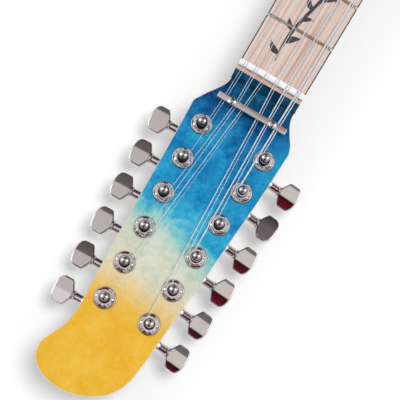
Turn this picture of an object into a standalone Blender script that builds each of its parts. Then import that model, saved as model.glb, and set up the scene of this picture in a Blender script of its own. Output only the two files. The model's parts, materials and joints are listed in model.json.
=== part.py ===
"""Twelve-string electric guitar, lying on its back.

Frame: metres, +Z up out of the face of the guitar, +Y towards the headstock, +X towards the
treble side. The origin is on the flat back of the body, on the centre line, under the line
where the strings cross the saddles.
"""

import math

import bmesh
import bpy
from mathutils import Matrix, Vector

MM = 0.001

# Clearances
GAP = 0.3 * MM
CUT = 2.0 * MM
FUSE = 0.4 * MM

# Strings, from the treble side to the bass side
SCALE_LENGTH = 648 * MM
INCH = 25.4 * MM
GAUGES = [g * INCH for g in (0.010, 0.010, 0.013, 0.013, 0.017, 0.008,
                             0.026, 0.012, 0.036, 0.018, 0.046, 0.026)]
COURSES = 6
STRINGS = 2 * COURSES
COURSE_PITCH_NUT = 7.86 * MM
COURSE_PITCH_BRIDGE = 10.4 * MM
PAIR_PITCH_NUT = 1.8 * MM
PAIR_PITCH_BRIDGE = 3.0 * MM
STRING_OVER_FRET = 0.35 * MM
SADDLE_RISE = 2.0 * MM
BALL_RADIUS = 1.8 * MM
BALL_LENGTH = 3.2 * MM
WRAP_TURNS = 2.0
WRAP_POINTS = 8
WRAP_SPACE = 0.45 * MM

# Body
BODY_THICKNESS = 45 * MM
BODY_EDGE = 4 * MM
BODY_CURVE_STEPS = 3
TREBLE_HALF = [(0, -113), (62, -108), (120, -80), (155, -24), (140, 36), (112, 84), (110, 128),
               (130, 172), (137, 208), (122, 234), (103, 221), (86, 192), (62, 172), (43, 184)]
BASS_HALF = [(-45, 204), (-66, 199), (-86, 226), (-103, 266), (-122, 290), (-140, 276),
             (-142, 236), (-128, 184), (-114, 138), (-118, 88), (-146, 38), (-158, -22),
             (-124, -80), (-63, -108)]
HEEL_LIP_HALF = 35.5 * MM
HEEL_LIP_Y = 224 * MM
HEEL_LIP_RUN = (18 * MM, 8 * MM)

# Neck and fretboard
NUT_WIDTH = 48.2 * MM
BOARD_TAPER = 0.0135
BOARD_RISE = 10 * MM
BOARD_THICKNESS = 5.7 * MM
BOARD_RADIUS = 305 * MM
BOARD_END = 156 * MM
BOARD_ARC_STEPS = 4
FRETS = 24
FRET_HEIGHT = 1.1 * MM
FRET_WIDTH = 2.4 * MM
NECK_DEPTH_NUT = 21 * MM
NECK_DEPTH_HEEL = 24 * MM
NECK_SHOULDER = 1.0 * MM
NECK_BACK_STEPS = 6
HEEL_DEPTH = 25.7 * MM
HEEL_LENGTH = 74 * MM
HEEL_BLEND = 34 * MM

# Nut
NUT_LENGTH = 3.8 * MM
NUT_OVER_STRING = 1.1 * MM
NUT_ARC_STEPS = 8
NUT_FALL = 0.5 * MM
SLOT_SPACE = 0.25 * MM

# Headstock; the side tables hold distances past the front of the nut and half widths
HEAD_DROP = 10 * MM
HEAD_THICKNESS = 12.7 * MM
LEDGE_END = 6.7 * MM
LEDGE_DROP = 1.6 * MM
SLOPE_END = 11.5 * MM
HEAD_BLEND = 30 * MM
SIDE_TREBLE = [(0, 24.1), (8, 24.1), (13, 24.5), (22, 28.4), (32, 34.7), (37, 37.8), (40, 37.8),
               (90, 35.7), (145, 34.2), (187, 31.7), (198, 32.3), (207, 34.7), (215, 38.9),
               (222, 41.1), (230, 39.3), (235, 34.9), (239, 26.5), (240.5, 18)]
SIDE_BASS = [(0, 24.1), (8, 24.1), (14, 24.2), (22, 26.7), (31, 32.3), (36, 34.5), (40, 34.5),
             (90, 31.7), (145, 27.8), (187, 23.1), (204, 21.7), (215, 19.8), (223, 16.5),
             (229, 11.9), (234, 5.4), (237.5, -1.5), (239.5, -9), (240.5, -15)]
HEAD_SECTIONS = (14, 18, 22, 27, 32, 36, 38.5, 40, 90, 145, 187, 198, 204, 209, 215, 219, 223,
                 227, 230, 233, 235, 237.5, 239.3, 240.5)

# String bar on the headstock, with the place where each string passes under it
BAR_CENTRE = 27.5 * MM
BAR_WIDTH = 4.0 * MM
BAR_HALF_LENGTH = 25.3 * MM
BAR_THICKNESS = 2.0 * MM
BAR_UNDERSIDE = 6.2 * MM
BAR_SCREWS = (15.0 * MM, -15.2 * MM)
BAR_SPACER_RADIUS = 1.9 * MM
BAR_SCREW_RADIUS = 2.55 * MM
BAR_SCREW_HEIGHT = 1.4 * MM
BAR_CROSSINGS = [x * MM for x in (21.1, 19.4, 12.6, 11.0, 6.8, 5.3,
                                  -4.3, -5.9, -11.2, -12.7, -18.2, -20.0)]

# Tuners: one column on each side, spaced from the nut towards the tip
TUNERS_PER_SIDE = 6
TUNER_PITCH = 25.85 * MM
TREBLE_FIRST = (24.89 * MM, 48.9 * MM)
TREBLE_LEAN = math.radians(1.92)
BASS_FIRST = (-22.25 * MM, 49.31 * MM)
BASS_LEAN = math.radians(4.52)
KEY_ANGLES = [math.radians(a) for a in (-4, 1, 3, -1, 5, -7, 2, 1, -3, -3, 10, -6)]

# Worm gearing inside each tuner
GEAR_TEETH = 14
MODULE = 0.6 * MM
WORM_PITCH_RADIUS = 2.5 * MM
ADDENDUM = 0.55 * MM
WORM_DEDENDUM = 0.75 * MM
GEAR_DEDENDUM = 1.0 * MM
TOOTH_TIP_HALF = 0.22 * MM
GEAR_FACE = 3.4 * MM
THREAD_TURNS = 2.5
THREAD_STEPS = 8
THREAD_HALF = 0.39 * MM
THREAD_RUNOUT = 1.2 * MM
PRESSURE_ANGLE = math.radians(20)

# Tuner post
POST_SIDES = 8
POST_RADIUS = 3.0 * MM
POST_WAIST_RADIUS = 2.3 * MM
POST_HEAD_RADIUS = 3.25 * MM
POST_SHOULDER = 4.4 * MM
POST_NECK_TOP = 8.2 * MM
POST_TOP = 11.6 * MM

# Tuner housing
GEAR_DEPTH = 4.7 * MM
CASE_DEPTH = 9.8 * MM
CASE_WALL = 1.6 * MM
CASE_INBOARD = 8.2 * MM
CASE_OUTBOARD = 11 * MM
CASE_CORNER = 2.5 * MM
SLEEVE_END = 18.8 * MM
SLEEVE_RADIUS = 3.1 * MM
BUSH_RADIUS = 5.0 * MM
BUSH_TOP = 3.8 * MM
WASHER_SIDES = 12
WASHER_RADIUS = 7.2 * MM
WASHER_THICKNESS = 1.1 * MM
NUT_FLATS = 10.4 * MM
NUT_HEIGHT = 2.2 * MM

# Tuner key
COLLAR_RADIUS = 3.7 * MM
COLLAR_THICKNESS = 1.0 * MM
BUTTON_LENGTH = 12.8 * MM
BUTTON_HALF_WIDTH = 9.1 * MM
BUTTON_NECK_HALF = 3.0 * MM
BUTTON_END_HALF = 4.7 * MM
BUTTON_SHOULDER = 3.6 * MM
BUTTON_TAPER = 2.6 * MM
BUTTON_THICKNESS = 6.2 * MM
BUTTON_RIM = 0.7 * MM

# Bridge
BRIDGE_WIDTH = 84 * MM
BRIDGE_FRONT = 20 * MM
BRIDGE_BACK = 26 * MM
BRIDGE_PLATE = 2.6 * MM
BRIDGE_WALL = 3.0 * MM
BRIDGE_WALL_TOP = 10 * MM
BRIDGE_WALL_INSET = 3.0 * MM
SADDLE_WIDTH = 9.4 * MM
SADDLE_FRONT = 5 * MM
SADDLE_BACK = 11 * MM
SADDLE_CREST = 1.5 * MM
STRING_HOLE_RADIUS = 1.2 * MM
STRING_HOLE_ROWS = (4.6 * MM, 8.2 * MM)

# Pickups
PICKUP_WIDTH = 74 * MM
PICKUP_LENGTH = 38 * MM
PICKUP_UNDER_STRINGS = 2.6 * MM
PICKUP_DEPTH = 16 * MM
PICKUP_CORNER = 2.2 * MM
RING_MARGIN_X = 9 * MM
RING_MARGIN_Y = 3.5 * MM
RING_HEIGHT = 5.5 * MM
RING_EDGE = 1.2 * MM
POLE_RADIUS = 2.3 * MM
POLE_HEIGHT = 0.6 * MM
NECK_PICKUP_Y = 131 * MM
BRIDGE_PICKUP_Y = 47 * MM

# Controls
VOLUME_PLACE = (84 * MM, -6 * MM)
TONE_PLACE = (104 * MM, -44 * MM)
KNOB_RADIUS = 9.5 * MM
KNOB_HEIGHT = 16 * MM
KNOB_EDGE = 2 * MM
KNOB_FOOT = 0.8 * MM
KNOB_STEM_RADIUS = 3.0 * MM
KNOB_STEM_DEPTH = 9 * MM
SELECTOR_PLACE = (92 * MM, 42 * MM)
SLOT_WIDTH = 2.4 * MM
SLOT_LENGTH = 22 * MM
SELECTOR_PIVOT_DEPTH = 9 * MM
SELECTOR_BARREL_RADIUS = 3.0 * MM
LEVER_THICKNESS = 1.6 * MM
LEVER_WIDTH = 5 * MM
LEVER_TOP = 11 * MM
LEVER_TIP_SIZE = (6 * MM, 8 * MM, 9 * MM)
LEVER_TIP_EDGE = 1.5 * MM

# Output jack in the rim of the lower treble bout
JACK_Y = -24 * MM
JACK_PLATE = (3.0 * MM, 38 * MM, 26 * MM)
JACK_PLATE_EDGE = 0.8 * MM
JACK_FLAT_DEPTH = 4.0 * MM
JACK_BARREL_RADIUS = 6.0 * MM
JACK_BARREL_LENGTH = 26 * MM
JACK_BARREL_FLOOR = 3.4 * MM
JACK_CAVITY_RADIUS = 11 * MM
JACK_BORE_RADIUS = 3.4 * MM
JACK_NUT_RADIUS = 7.5 * MM
JACK_NUT_HEIGHT = 2.4 * MM

# Strap buttons on the lower end and on the bass horn
STRAP_BASE_RADIUS = 6.7 * MM
STRAP_BASE_HEIGHT = 1.5 * MM
STRAP_STEM_RADIUS = 4.0 * MM
STRAP_FLANGE_RADIUS = 7.5 * MM
STRAP_FLANGE_THICKNESS = 3.0 * MM
STRAP_HEIGHT = 11 * MM

# Heights worked out from the sizes above
BODY_TOP = BODY_THICKNESS
BOARD_TOP = BODY_TOP + BOARD_RISE
BOARD_UNDER = BOARD_TOP - BOARD_THICKNESS
NECK_TOP = BOARD_UNDER - GAP
POCKET_FLOOR = BOARD_TOP - HEEL_DEPTH
HEEL_END = BOARD_END + HEEL_LENGTH
HEAD_FACE = BOARD_TOP - HEAD_DROP
HEAD_BACK = HEAD_FACE - HEAD_THICKNESS
NUT_Y = SCALE_LENGTH
CROWN_TOP = BOARD_TOP + FRET_HEIGHT
LEAD = math.pi * MODULE
GEAR_PITCH_RADIUS = MODULE * GEAR_TEETH / 2
GEAR_TIP_RADIUS = GEAR_PITCH_RADIUS + ADDENDUM
WORM_TIP_RADIUS = WORM_PITCH_RADIUS + ADDENDUM
WORM_CORE_RADIUS = WORM_PITCH_RADIUS - WORM_DEDENDUM
WORM_HALF = THREAD_TURNS * LEAD / 2 + THREAD_RUNOUT
AXIS_OFFSET = GEAR_PITCH_RADIUS + WORM_PITCH_RADIUS
GEAR_PLANE = -HEAD_THICKNESS - GAP - GEAR_DEPTH
COLLAR_START = SLEEVE_END + GAP

MATERIALS = {
    "stained_top": ((0.05, 0.36, 0.60), 0.25, 0.0),
    "neck_gloss": ((0.03, 0.03, 0.03), 0.2, 0.0),
    "maple_board": ((0.72, 0.56, 0.45), 0.5, 0.0),
    "bone": ((0.9, 0.9, 0.88), 0.4, 0.0),
    "chrome": ((0.75, 0.73, 0.72), 0.12, 1.0),
    "nickel": ((0.66, 0.60, 0.54), 0.3, 1.0),
    "steel_string": ((0.78, 0.78, 0.76), 0.3, 1.0),
    "black_plastic": ((0.02, 0.02, 0.02), 0.35, 0.0),
}
SMOOTH_ANGLE = math.radians(35)


def make_material(name):
    """A Principled material with the named colour, roughness and metallic value."""
    colour, roughness, metallic = MATERIALS[name]
    material = bpy.data.materials.new(name)
    material.use_nodes = True
    shader = material.node_tree.nodes["Principled BSDF"]
    shader.inputs["Base Color"].default_value = (*colour, 1)
    shader.inputs["Roughness"].default_value = roughness
    shader.inputs["Metallic"].default_value = metallic
    material.diffuse_color = (*colour, 1)
    return material


def clear_scene():
    for obj in list(bpy.data.objects):
        bpy.data.objects.remove(obj, do_unlink=True)


def add_object(name, data, material, location=(0, 0, 0), turn=0.0, smooth=False):
    """Adds one named piece to the scene with its own material."""
    obj = bpy.data.objects.new(name, data)
    obj.location = location
    obj.rotation_euler = (0, 0, turn)
    if not data.materials:
        data.materials.append(make_material(material))
    if smooth:
        data.shade_smooth()
        data.set_sharp_from_angle(angle=SMOOTH_ANGLE)
    bpy.context.collection.objects.link(obj)
    return obj


def to_mesh(name, bm):
    """Turns a bmesh into a mesh with its faces pointing out."""
    bmesh.ops.recalc_face_normals(bm, faces=bm.faces[:])
    mesh = bpy.data.meshes.new(name)
    bm.to_mesh(mesh)
    bm.free()
    return mesh


def evaluated(obj, helpers=()):
    """The mesh of an object with its modifiers applied; the object and its helpers go."""
    graph = bpy.context.evaluated_depsgraph_get()
    solid = bpy.data.meshes.new_from_object(obj.evaluated_get(graph))
    for used in (obj, *helpers):
        bpy.data.objects.remove(used, do_unlink=True)
    return solid


def combine(base, joins=(), cuts=()):
    """Joins meshes to a base mesh, then cuts others out of it, and returns the solid."""
    helpers = []
    body = add_plain("base", base)
    for operation, meshes in (("UNION", joins), ("DIFFERENCE", cuts)):
        for mesh in meshes:
            helper = add_plain("helper", mesh)
            helper.hide_render = True
            helper.display_type = "WIRE"
            modifier = body.modifiers.new(operation.lower(), "BOOLEAN")
            modifier.operation = operation
            modifier.solver = "EXACT"
            modifier.object = helper
            helpers.append(helper)
    return evaluated(body, helpers)


def bevelled(mesh, width, angle=math.radians(40)):
    """Takes the sharp edges off a mesh."""
    obj = add_plain("edged", mesh)
    modifier = obj.modifiers.new("edge", "BEVEL")
    modifier.width = width
    modifier.segments = 1
    modifier.limit_method = "ANGLE"
    modifier.angle_limit = angle
    return evaluated(obj)


def add_plain(name, mesh):
    obj = bpy.data.objects.new(name, mesh)
    bpy.context.collection.objects.link(obj)
    return obj


def loft(bm, sections):
    """Skins closed sections with equal counts of (x, y, z) points and caps both ends."""
    rings = [[bm.verts.new(point) for point in section] for section in sections]
    count = len(rings[0])
    for lower, upper in zip(rings, rings[1:]):
        for i in range(count):
            j = (i + 1) % count
            bm.faces.new((lower[i], lower[j], upper[j], upper[i]))
    bm.faces.new(rings[0][::-1])
    bm.faces.new(rings[-1])


def lofted(sections):
    bm = bmesh.new()
    loft(bm, sections)
    return to_mesh("loft", bm)


def prism(outline, low, high):
    """An upright prism over an outline of (x, y) points."""
    return lofted([[(x, y, z) for x, y in outline] for z in (low, high)])


def rectangle(x, y, half_x, half_y):
    return [(x - half_x, y - half_y), (x + half_x, y - half_y),
            (x + half_x, y + half_y), (x - half_x, y + half_y)]


def box(centre, size):
    x, y, z = centre
    half_x, half_y, half_z = (s / 2 for s in size)
    return prism(rectangle(x, y, half_x, half_y), z - half_z, z + half_z)


def circle(radius, sides, centre=(0, 0), phase=0.0):
    angles = [phase + 2 * math.pi * i / sides for i in range(sides)]
    return [(centre[0] + radius * math.cos(a), centre[1] + radius * math.sin(a)) for a in angles]


def around(radius, sides):
    """The radius to the corners of a polygon whose sides clear a round part by the gap."""
    return (radius + GAP) / math.cos(math.pi / sides)


def turned(profile, sides, axis="Z", place=(0, 0, 0)):
    """A turned solid from (radius, height) points, flat at both ends, about the named axis."""
    mesh = lofted([[(x, y, h) for x, y in circle(radius, sides)] for radius, h in profile])
    if axis == "X":
        mesh.transform(Matrix.Rotation(math.pi / 2, 4, "Y"))
    if axis == "Y":
        mesh.transform(Matrix.Rotation(-math.pi / 2, 4, "X"))
    mesh.transform(Matrix.Translation(place))
    return mesh


def mirrored(mesh):
    """A copy of a mesh, mirrored from the treble side to the bass side."""
    copy = mesh.copy()
    copy.transform(Matrix.Scale(-1, 4, (1, 0, 0)))
    copy.flip_normals()
    return copy


def curve_through(points, steps):
    """Points on a smooth open curve that passes through the given points."""
    ends = [points[0], *points, points[-1]]
    path = []
    for corners in zip(ends, ends[1:], ends[2:], ends[3:]):
        a, b, c, d = (Vector(corner) for corner in corners)
        for step in range(steps):
            t = step / steps
            bend = (2 * a - 5 * b + 4 * c - d) * t * t + (3 * b - a - 3 * c + d) * t * t * t
            path.append(tuple(b + ((c - a) * t + bend) / 2))
    return path + [tuple(points[-1])]


def between(table, distance):
    """The value at a distance in a table of (distance, value) pairs in millimetres."""
    place = distance / MM
    for (near, first), (far, last) in zip(table, table[1:]):
        if place <= far:
            return (first + (last - first) * (place - near) / (far - near)) * MM
    return table[-1][1] * MM


def smooth_step(t):
    t = min(max(t, 0.0), 1.0)
    return t * t * (3 - 2 * t)


def crown(x):
    """How far the arched fretboard, nut and saddles fall away from the centre line."""
    return x * x / (2 * BOARD_RADIUS)


def board_half(y):
    return NUT_WIDTH / 2 + BOARD_TAPER * (NUT_Y - y)


def course_x(course, pitch):
    return ((COURSES - 1) / 2 - course) * pitch


def string_x(index, course_pitch, pair_pitch):
    course, member = divmod(index, 2)
    return course_x(course, course_pitch) + (0.5 - member) * pair_pitch


def nut_height(index):
    """Height of a string's centre where it leaves the front of the nut."""
    x = string_x(index, COURSE_PITCH_NUT, PAIR_PITCH_NUT)
    return CROWN_TOP + STRING_OVER_FRET + GAUGES[index] / 2 - crown(x)


def saddle_height(index):
    x = string_x(index, COURSE_PITCH_BRIDGE, PAIR_PITCH_BRIDGE)
    return CROWN_TOP + SADDLE_RISE + GAUGES[index] / 2 - crown(x)


def tuner_places():
    """Post place, turn about Z and side (+1 treble, -1 bass) of each string's tuner."""
    places = []
    for row in range(TUNERS_PER_SIDE):
        run = row * TUNER_PITCH
        x = TREBLE_FIRST[0] - run * math.sin(TREBLE_LEAN)
        y = NUT_Y + TREBLE_FIRST[1] + run * math.cos(TREBLE_LEAN)
        places.append((Vector((x, y, HEAD_FACE)), TREBLE_LEAN, 1))
    for row in reversed(range(TUNERS_PER_SIDE)):
        run = row * TUNER_PITCH
        x = BASS_FIRST[0] + run * math.sin(BASS_LEAN)
        y = NUT_Y + BASS_FIRST[1] + run * math.cos(BASS_LEAN)
        places.append((Vector((x, y, HEAD_FACE)), -BASS_LEAN, -1))
    return places


def body_outline():
    """The outline of the body, anticlockwise from the bottom, with a square lip at the heel."""
    lip_x, lip_y = HEEL_LIP_HALF / MM, HEEL_LIP_Y / MM
    treble_run, bass_run = (run / MM for run in HEEL_LIP_RUN)
    treble = TREBLE_HALF + [(lip_x + 1, lip_y - treble_run), (lip_x, lip_y)]
    bass = [(-lip_x, lip_y), (-lip_x - 1, lip_y - bass_run)] + BASS_HALF + TREBLE_HALF[:1]
    points = curve_through(treble, BODY_CURVE_STEPS) + curve_through(bass, BODY_CURVE_STEPS)[:-1]
    return [(x * MM, y * MM) for x, y in points]


def rim_at(outline, y):
    """How far out the treble side of the outline lies at the distance y along the body."""
    reach = 0.0
    for (x0, y0), (x1, y1) in zip(outline, outline[1:] + outline[:1]):
        if y0 != y1 and (y0 - y) * (y1 - y) <= 0:
            reach = max(reach, x0 + (x1 - x0) * (y - y0) / (y1 - y0))
    return reach


def strap_button(place, turn):
    """A turned strap button on the rim, pointing along +Y before its turn."""
    flange = STRAP_HEIGHT - STRAP_FLANGE_THICKNESS
    profile = [(STRAP_BASE_RADIUS, -CUT), (STRAP_BASE_RADIUS, STRAP_BASE_HEIGHT),
               (STRAP_STEM_RADIUS, 2 * STRAP_BASE_HEIGHT), (STRAP_STEM_RADIUS, flange),
               (STRAP_FLANGE_RADIUS, flange), (STRAP_FLANGE_RADIUS, STRAP_HEIGHT)]
    button = turned(profile, 12, "Y")
    button.transform(Matrix.Translation(place) @ Matrix.Rotation(turn, 4, "Z"))
    return button


def build_body():
    outline = body_outline()
    blank = bevelled(prism(outline, 0, BODY_THICKNESS), BODY_EDGE, math.radians(60))
    middle = BODY_THICKNESS / 2
    foot = min(outline, key=lambda point: point[1])
    horn = max(outline, key=lambda point: point[1])
    buttons = [strap_button((*foot, middle), math.pi), strap_button((*horn, middle), 0)]
    cuts = [neck_pocket()]
    for y in (NECK_PICKUP_Y, BRIDGE_PICKUP_Y):
        depth = PICKUP_DEPTH + GAP
        size = (PICKUP_WIDTH + 2 * GAP, PICKUP_LENGTH + 2 * GAP, depth + CUT)
        cuts.append(box((0, y, BODY_TOP + (CUT - depth) / 2), size))
    for place in (VOLUME_PLACE, TONE_PLACE):
        hole = circle(around(KNOB_STEM_RADIUS, 10), 10, place)
        cuts.append(prism(hole, BODY_TOP - KNOB_STEM_DEPTH - GAP, BODY_TOP + CUT))
    cuts += selector_cuts() + jack_cuts(outline)
    add_object("body", combine(blank, buttons, cuts), "stained_top", smooth=True)


def neck_pocket():
    """The open pocket that takes the square heel of the neck."""
    near, far = BOARD_END, HEEL_LIP_Y + CUT
    low, high = board_half(near) + GAP, board_half(far) + GAP
    outline = [(-low, near), (low, near), (high, far), (-high, far)]
    return prism(outline, POCKET_FLOOR, BODY_TOP + CUT)


def selector_cuts():
    """The slot for the selector lever and the round seat of its pivot barrel."""
    x, y = SELECTOR_PLACE
    pivot = BODY_TOP - SELECTOR_PIVOT_DEPTH
    slot = prism(rectangle(x, y, SLOT_WIDTH / 2, SLOT_LENGTH / 2), pivot, BODY_TOP + CUT)
    radius = around(SELECTOR_BARREL_RADIUS, 12)
    seat = turned([(radius, -SLOT_WIDTH / 2), (radius, SLOT_WIDTH / 2)], 12, "X", (x, y, pivot))
    return [slot, seat]


def jack_flat(outline):
    return rim_at(outline, JACK_Y) - JACK_FLAT_DEPTH


def jack_cuts(outline):
    """The flat and the round hole in the rim that take the output jack."""
    flat = jack_flat(outline)
    middle = BODY_THICKNESS / 2
    reach = JACK_FLAT_DEPTH + CUT
    seat = box((flat + reach / 2, JACK_Y, middle),
               (reach, JACK_PLATE[1] + 2 * GAP, JACK_PLATE[2] + 2 * GAP))
    profile = [(JACK_CAVITY_RADIUS, -JACK_BARREL_LENGTH - GAP), (JACK_CAVITY_RADIUS, CUT)]
    return [seat, turned(profile, 12, "X", (flat, JACK_Y, middle))]


def build_output_jack():
    """A plate on the rim with a threaded socket for a 6.35 mm plug."""
    thickness = JACK_PLATE[0]
    place = Vector((jack_flat(body_outline()) + GAP, JACK_Y, BODY_THICKNESS / 2))
    plate = bevelled(box(place + Vector((thickness / 2, 0, 0)), JACK_PLATE), JACK_PLATE_EDGE)
    back = GAP - JACK_BARREL_LENGTH
    top = thickness + JACK_NUT_HEIGHT
    barrel = [(JACK_BARREL_RADIUS, back), (JACK_BARREL_RADIUS, thickness / 2)]
    nut = [(JACK_NUT_RADIUS, thickness / 2), (JACK_NUT_RADIUS, top)]
    bore = [(JACK_BORE_RADIUS, back + JACK_BARREL_FLOOR), (JACK_BORE_RADIUS, top + CUT)]
    mesh = combine(plate, [turned(barrel, 12, "X", place), turned(nut, 6, "X", place)],
                   [turned(bore, 12, "X", place)])
    add_object("output_jack", mesh, "chrome", smooth=True)


def neck_top(s):
    """Height of the neck's upper surface at the distance s past the front of the nut."""
    if s <= NUT_LENGTH + GAP:
        return NECK_TOP
    ledge = BOARD_TOP - LEDGE_DROP
    if s <= LEDGE_END:
        return ledge
    share = min((s - LEDGE_END) / (SLOPE_END - LEDGE_END), 1)
    return ledge + (HEAD_FACE - ledge) * share


def neck_bottom(y):
    """Height of the lowest line of the neck's back."""
    heel = POCKET_FLOOR + GAP
    blend_end = HEEL_END + HEEL_BLEND
    share = min(max((y - blend_end) / (NUT_Y - blend_end), 0), 1)
    back = BOARD_TOP - NECK_DEPTH_HEEL - (NECK_DEPTH_NUT - NECK_DEPTH_HEEL) * share
    from_heel = smooth_step((y - HEEL_END) / HEEL_BLEND)
    to_head = smooth_step((y - NUT_Y) / HEAD_BLEND + 0.5)
    return heel + (back - heel) * from_heel + (HEAD_BACK - back) * to_head


def roundness(y):
    """How round the back is: 0 for the square heel and headstock, 1 for the playing part."""
    return smooth_step((y - HEEL_END) / HEEL_BLEND) - smooth_step((y - NUT_Y) / HEAD_BLEND)


def neck_section(y):
    """Points round the neck: two top corners, then the back from the bass side to the treble."""
    s = y - NUT_Y
    right = between(SIDE_TREBLE, s) if s > 0 else board_half(y)
    left = between(SIDE_BASS, s) if s > 0 else board_half(y)
    top = neck_top(s)
    bottom = neck_bottom(y)
    rounding = roundness(y)
    shoulder = min(top, NECK_TOP) - NECK_SHOULDER
    middle, half = (right - left) / 2, (right + left) / 2
    points = [(right, y, top), (-left, y, top)]
    for step in range(NECK_BACK_STEPS + 1):
        angle = math.pi * step / NECK_BACK_STEPS
        across = -math.cos(angle)
        square_x = min(max(across * 1.35, -1), 1)
        at_side = step in (0, NECK_BACK_STEPS)
        square_z = shoulder if at_side else bottom
        round_z = shoulder - (shoulder - bottom) * math.sin(angle) ** 0.75 * (not at_side)
        points.append((middle + half * (square_x + (across - square_x) * rounding), y,
                       square_z + (round_z - square_z) * rounding))
    return points


def build_neck():
    """Neck and headstock in one piece, with a hole for each tuner bushing."""
    blend_end = HEEL_END + HEEL_BLEND
    stations = [BOARD_END + GAP, HEEL_END]
    stations += [HEEL_END + HEEL_BLEND * share for share in (0.25, 0.5, 0.75)]
    stations += [blend_end, blend_end + 3 * HEEL_BLEND, NUT_Y - HEAD_BLEND / 2]
    stations += [NUT_Y + NUT_LENGTH + GAP * share for share in (1, 1.5)]
    stations += [NUT_Y + LEDGE_END, NUT_Y + SLOPE_END] + [NUT_Y + s * MM for s in HEAD_SECTIONS]
    blank = lofted([neck_section(y) for y in stations])
    holes = bmesh.new()
    radius = around(BUSH_RADIUS, POST_SIDES)
    for place, turn, _ in tuner_places():
        ring = circle(radius, POST_SIDES, place.xy, turn)
        loft(holes, [[(x, y, z) for x, y in ring] for z in (HEAD_BACK - CUT, HEAD_FACE + CUT)])
    add_object("neck", combine(blank, cuts=[to_mesh("holes", holes)]), "neck_gloss", smooth=True)


def board_section(y, raised):
    half = board_half(y)
    points = [(half, y, BOARD_UNDER)]
    for step in range(BOARD_ARC_STEPS + 1):
        x = half * (1 - 2 * step / BOARD_ARC_STEPS)
        points.append((x, y, BOARD_TOP - crown(x) + raised))
    return points + [(-half, y, BOARD_UNDER)]


def build_fretboard():
    """Arched fretboard with its frets, each placed by twelve equal steps to the octave."""
    sections = [board_section(BOARD_END, 0)]
    for number in range(FRETS, 0, -1):
        y = SCALE_LENGTH * 2 ** (-number / 12)
        sections.append(board_section(y - FRET_WIDTH / 2, 0))
        sections.append(board_section(y, FRET_HEIGHT))
        sections.append(board_section(y + FRET_WIDTH / 2, 0))
    sections.append(board_section(NUT_Y - GAP, 0))
    add_object("fretboard", lofted(sections), "maple_board")


def build_nut():
    """Nut with a slot for each string."""
    half = NUT_WIDTH / 2
    top = CROWN_TOP + STRING_OVER_FRET + NUT_OVER_STRING
    outline = [(half, BOARD_UNDER)]
    for step in range(NUT_ARC_STEPS + 1):
        x = half * (1 - 2 * step / NUT_ARC_STEPS)
        outline.append((x, top - crown(x)))
    outline.append((-half, BOARD_UNDER))
    blank = lofted([[(x, y, z) for x, z in outline] for y in (NUT_Y, NUT_Y + NUT_LENGTH)])
    slots = bmesh.new()
    for index in range(STRINGS):
        x = string_x(index, COURSE_PITCH_NUT, PAIR_PITCH_NUT)
        room = GAUGES[index] / 2 + SLOT_SPACE
        floor = nut_height(index) - room - NUT_FALL
        corners = rectangle(x, (floor + top + CUT) / 2, room, (top + CUT - floor) / 2)
        loft(slots, [[(cx, y, cz) for cx, cz in corners]
                     for y in (NUT_Y - CUT, NUT_Y + NUT_LENGTH + CUT)])
    add_object("nut", combine(blank, cuts=[to_mesh("slots", slots)]), "bone")


def build_string_bar():
    """Bar that holds the strings down, with its two spacers and screws."""
    place = Vector((0, NUT_Y + BAR_CENTRE, HEAD_FACE + BAR_UNDERSIDE))
    size = (2 * BAR_HALF_LENGTH, BAR_WIDTH, BAR_THICKNESS)
    bar = box(place + Vector((0, 0, BAR_THICKNESS / 2)), size)
    spacer = [(BAR_SPACER_RADIUS, GAP - BAR_UNDERSIDE), (BAR_SPACER_RADIUS, FUSE)]
    head = [(BAR_SCREW_RADIUS, BAR_THICKNESS - FUSE), (BAR_SCREW_RADIUS, BAR_THICKNESS + FUSE),
            (BAR_SCREW_RADIUS / 2, BAR_THICKNESS + BAR_SCREW_HEIGHT)]
    joins = [turned(profile, 8, place=place + Vector((x, 0, 0)))
             for x in BAR_SCREWS for profile in (spacer, head)]
    add_object("string_bar", combine(bar, joins), "nickel", smooth=True)


def gear_section(z, twist):
    """Points round the gear: a V-shaped space faces +Y when the twist is zero."""
    root = GEAR_PITCH_RADIUS - GEAR_DEDENDUM
    step = 2 * math.pi / GEAR_TEETH
    half = TOOTH_TIP_HALF / GEAR_TIP_RADIUS
    points = []
    for tooth in range(GEAR_TEETH):
        space = math.pi / 2 + step * tooth + twist
        for radius, angle in ((root, space), (GEAR_TIP_RADIUS, space + step / 2 - half),
                              (GEAR_TIP_RADIUS, space + step / 2 + half)):
            points.append((radius * math.cos(angle), radius * math.sin(angle), z))
    return points


def tuner_post_mesh():
    """Post with its worm gear, about Z, with the headstock's face at height 0."""
    lean = LEAD / (2 * math.pi * WORM_PITCH_RADIUS) / GEAR_PITCH_RADIUS
    sections = [gear_section(GEAR_PLANE + z, z * lean) for z in (-GEAR_FACE / 2, GEAR_FACE / 2)]
    dome = POST_TOP - POST_NECK_TOP
    profile = [(POST_RADIUS, GEAR_PLANE), (POST_RADIUS, POST_SHOULDER),
               (POST_WAIST_RADIUS, POST_SHOULDER + GAP), (POST_WAIST_RADIUS, POST_NECK_TOP),
               (POST_HEAD_RADIUS, POST_NECK_TOP + dome * 0.2),
               (POST_HEAD_RADIUS * 0.9, POST_NECK_TOP + dome * 0.6),
               (POST_HEAD_RADIUS * 0.4, POST_TOP)]
    return combine(turned(profile, POST_SIDES), [lofted(sections)])


def skin_thread_end(bm, ring, near, far):
    """Joins a round end to a helical thread; near and far are the edges at the thread's foot."""
    for j in range(THREAD_STEPS - 1):
        bm.faces.new((ring[j], ring[j + 1], near[j + 1], near[j]))
    last = near[THREAD_STEPS - 1]
    for edge in ((ring[-1], ring[0]), (ring[0], near[0]), (near[0], far[0]),
                 (far[0], near[THREAD_STEPS])):
        bm.faces.new((last, *edge))


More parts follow.
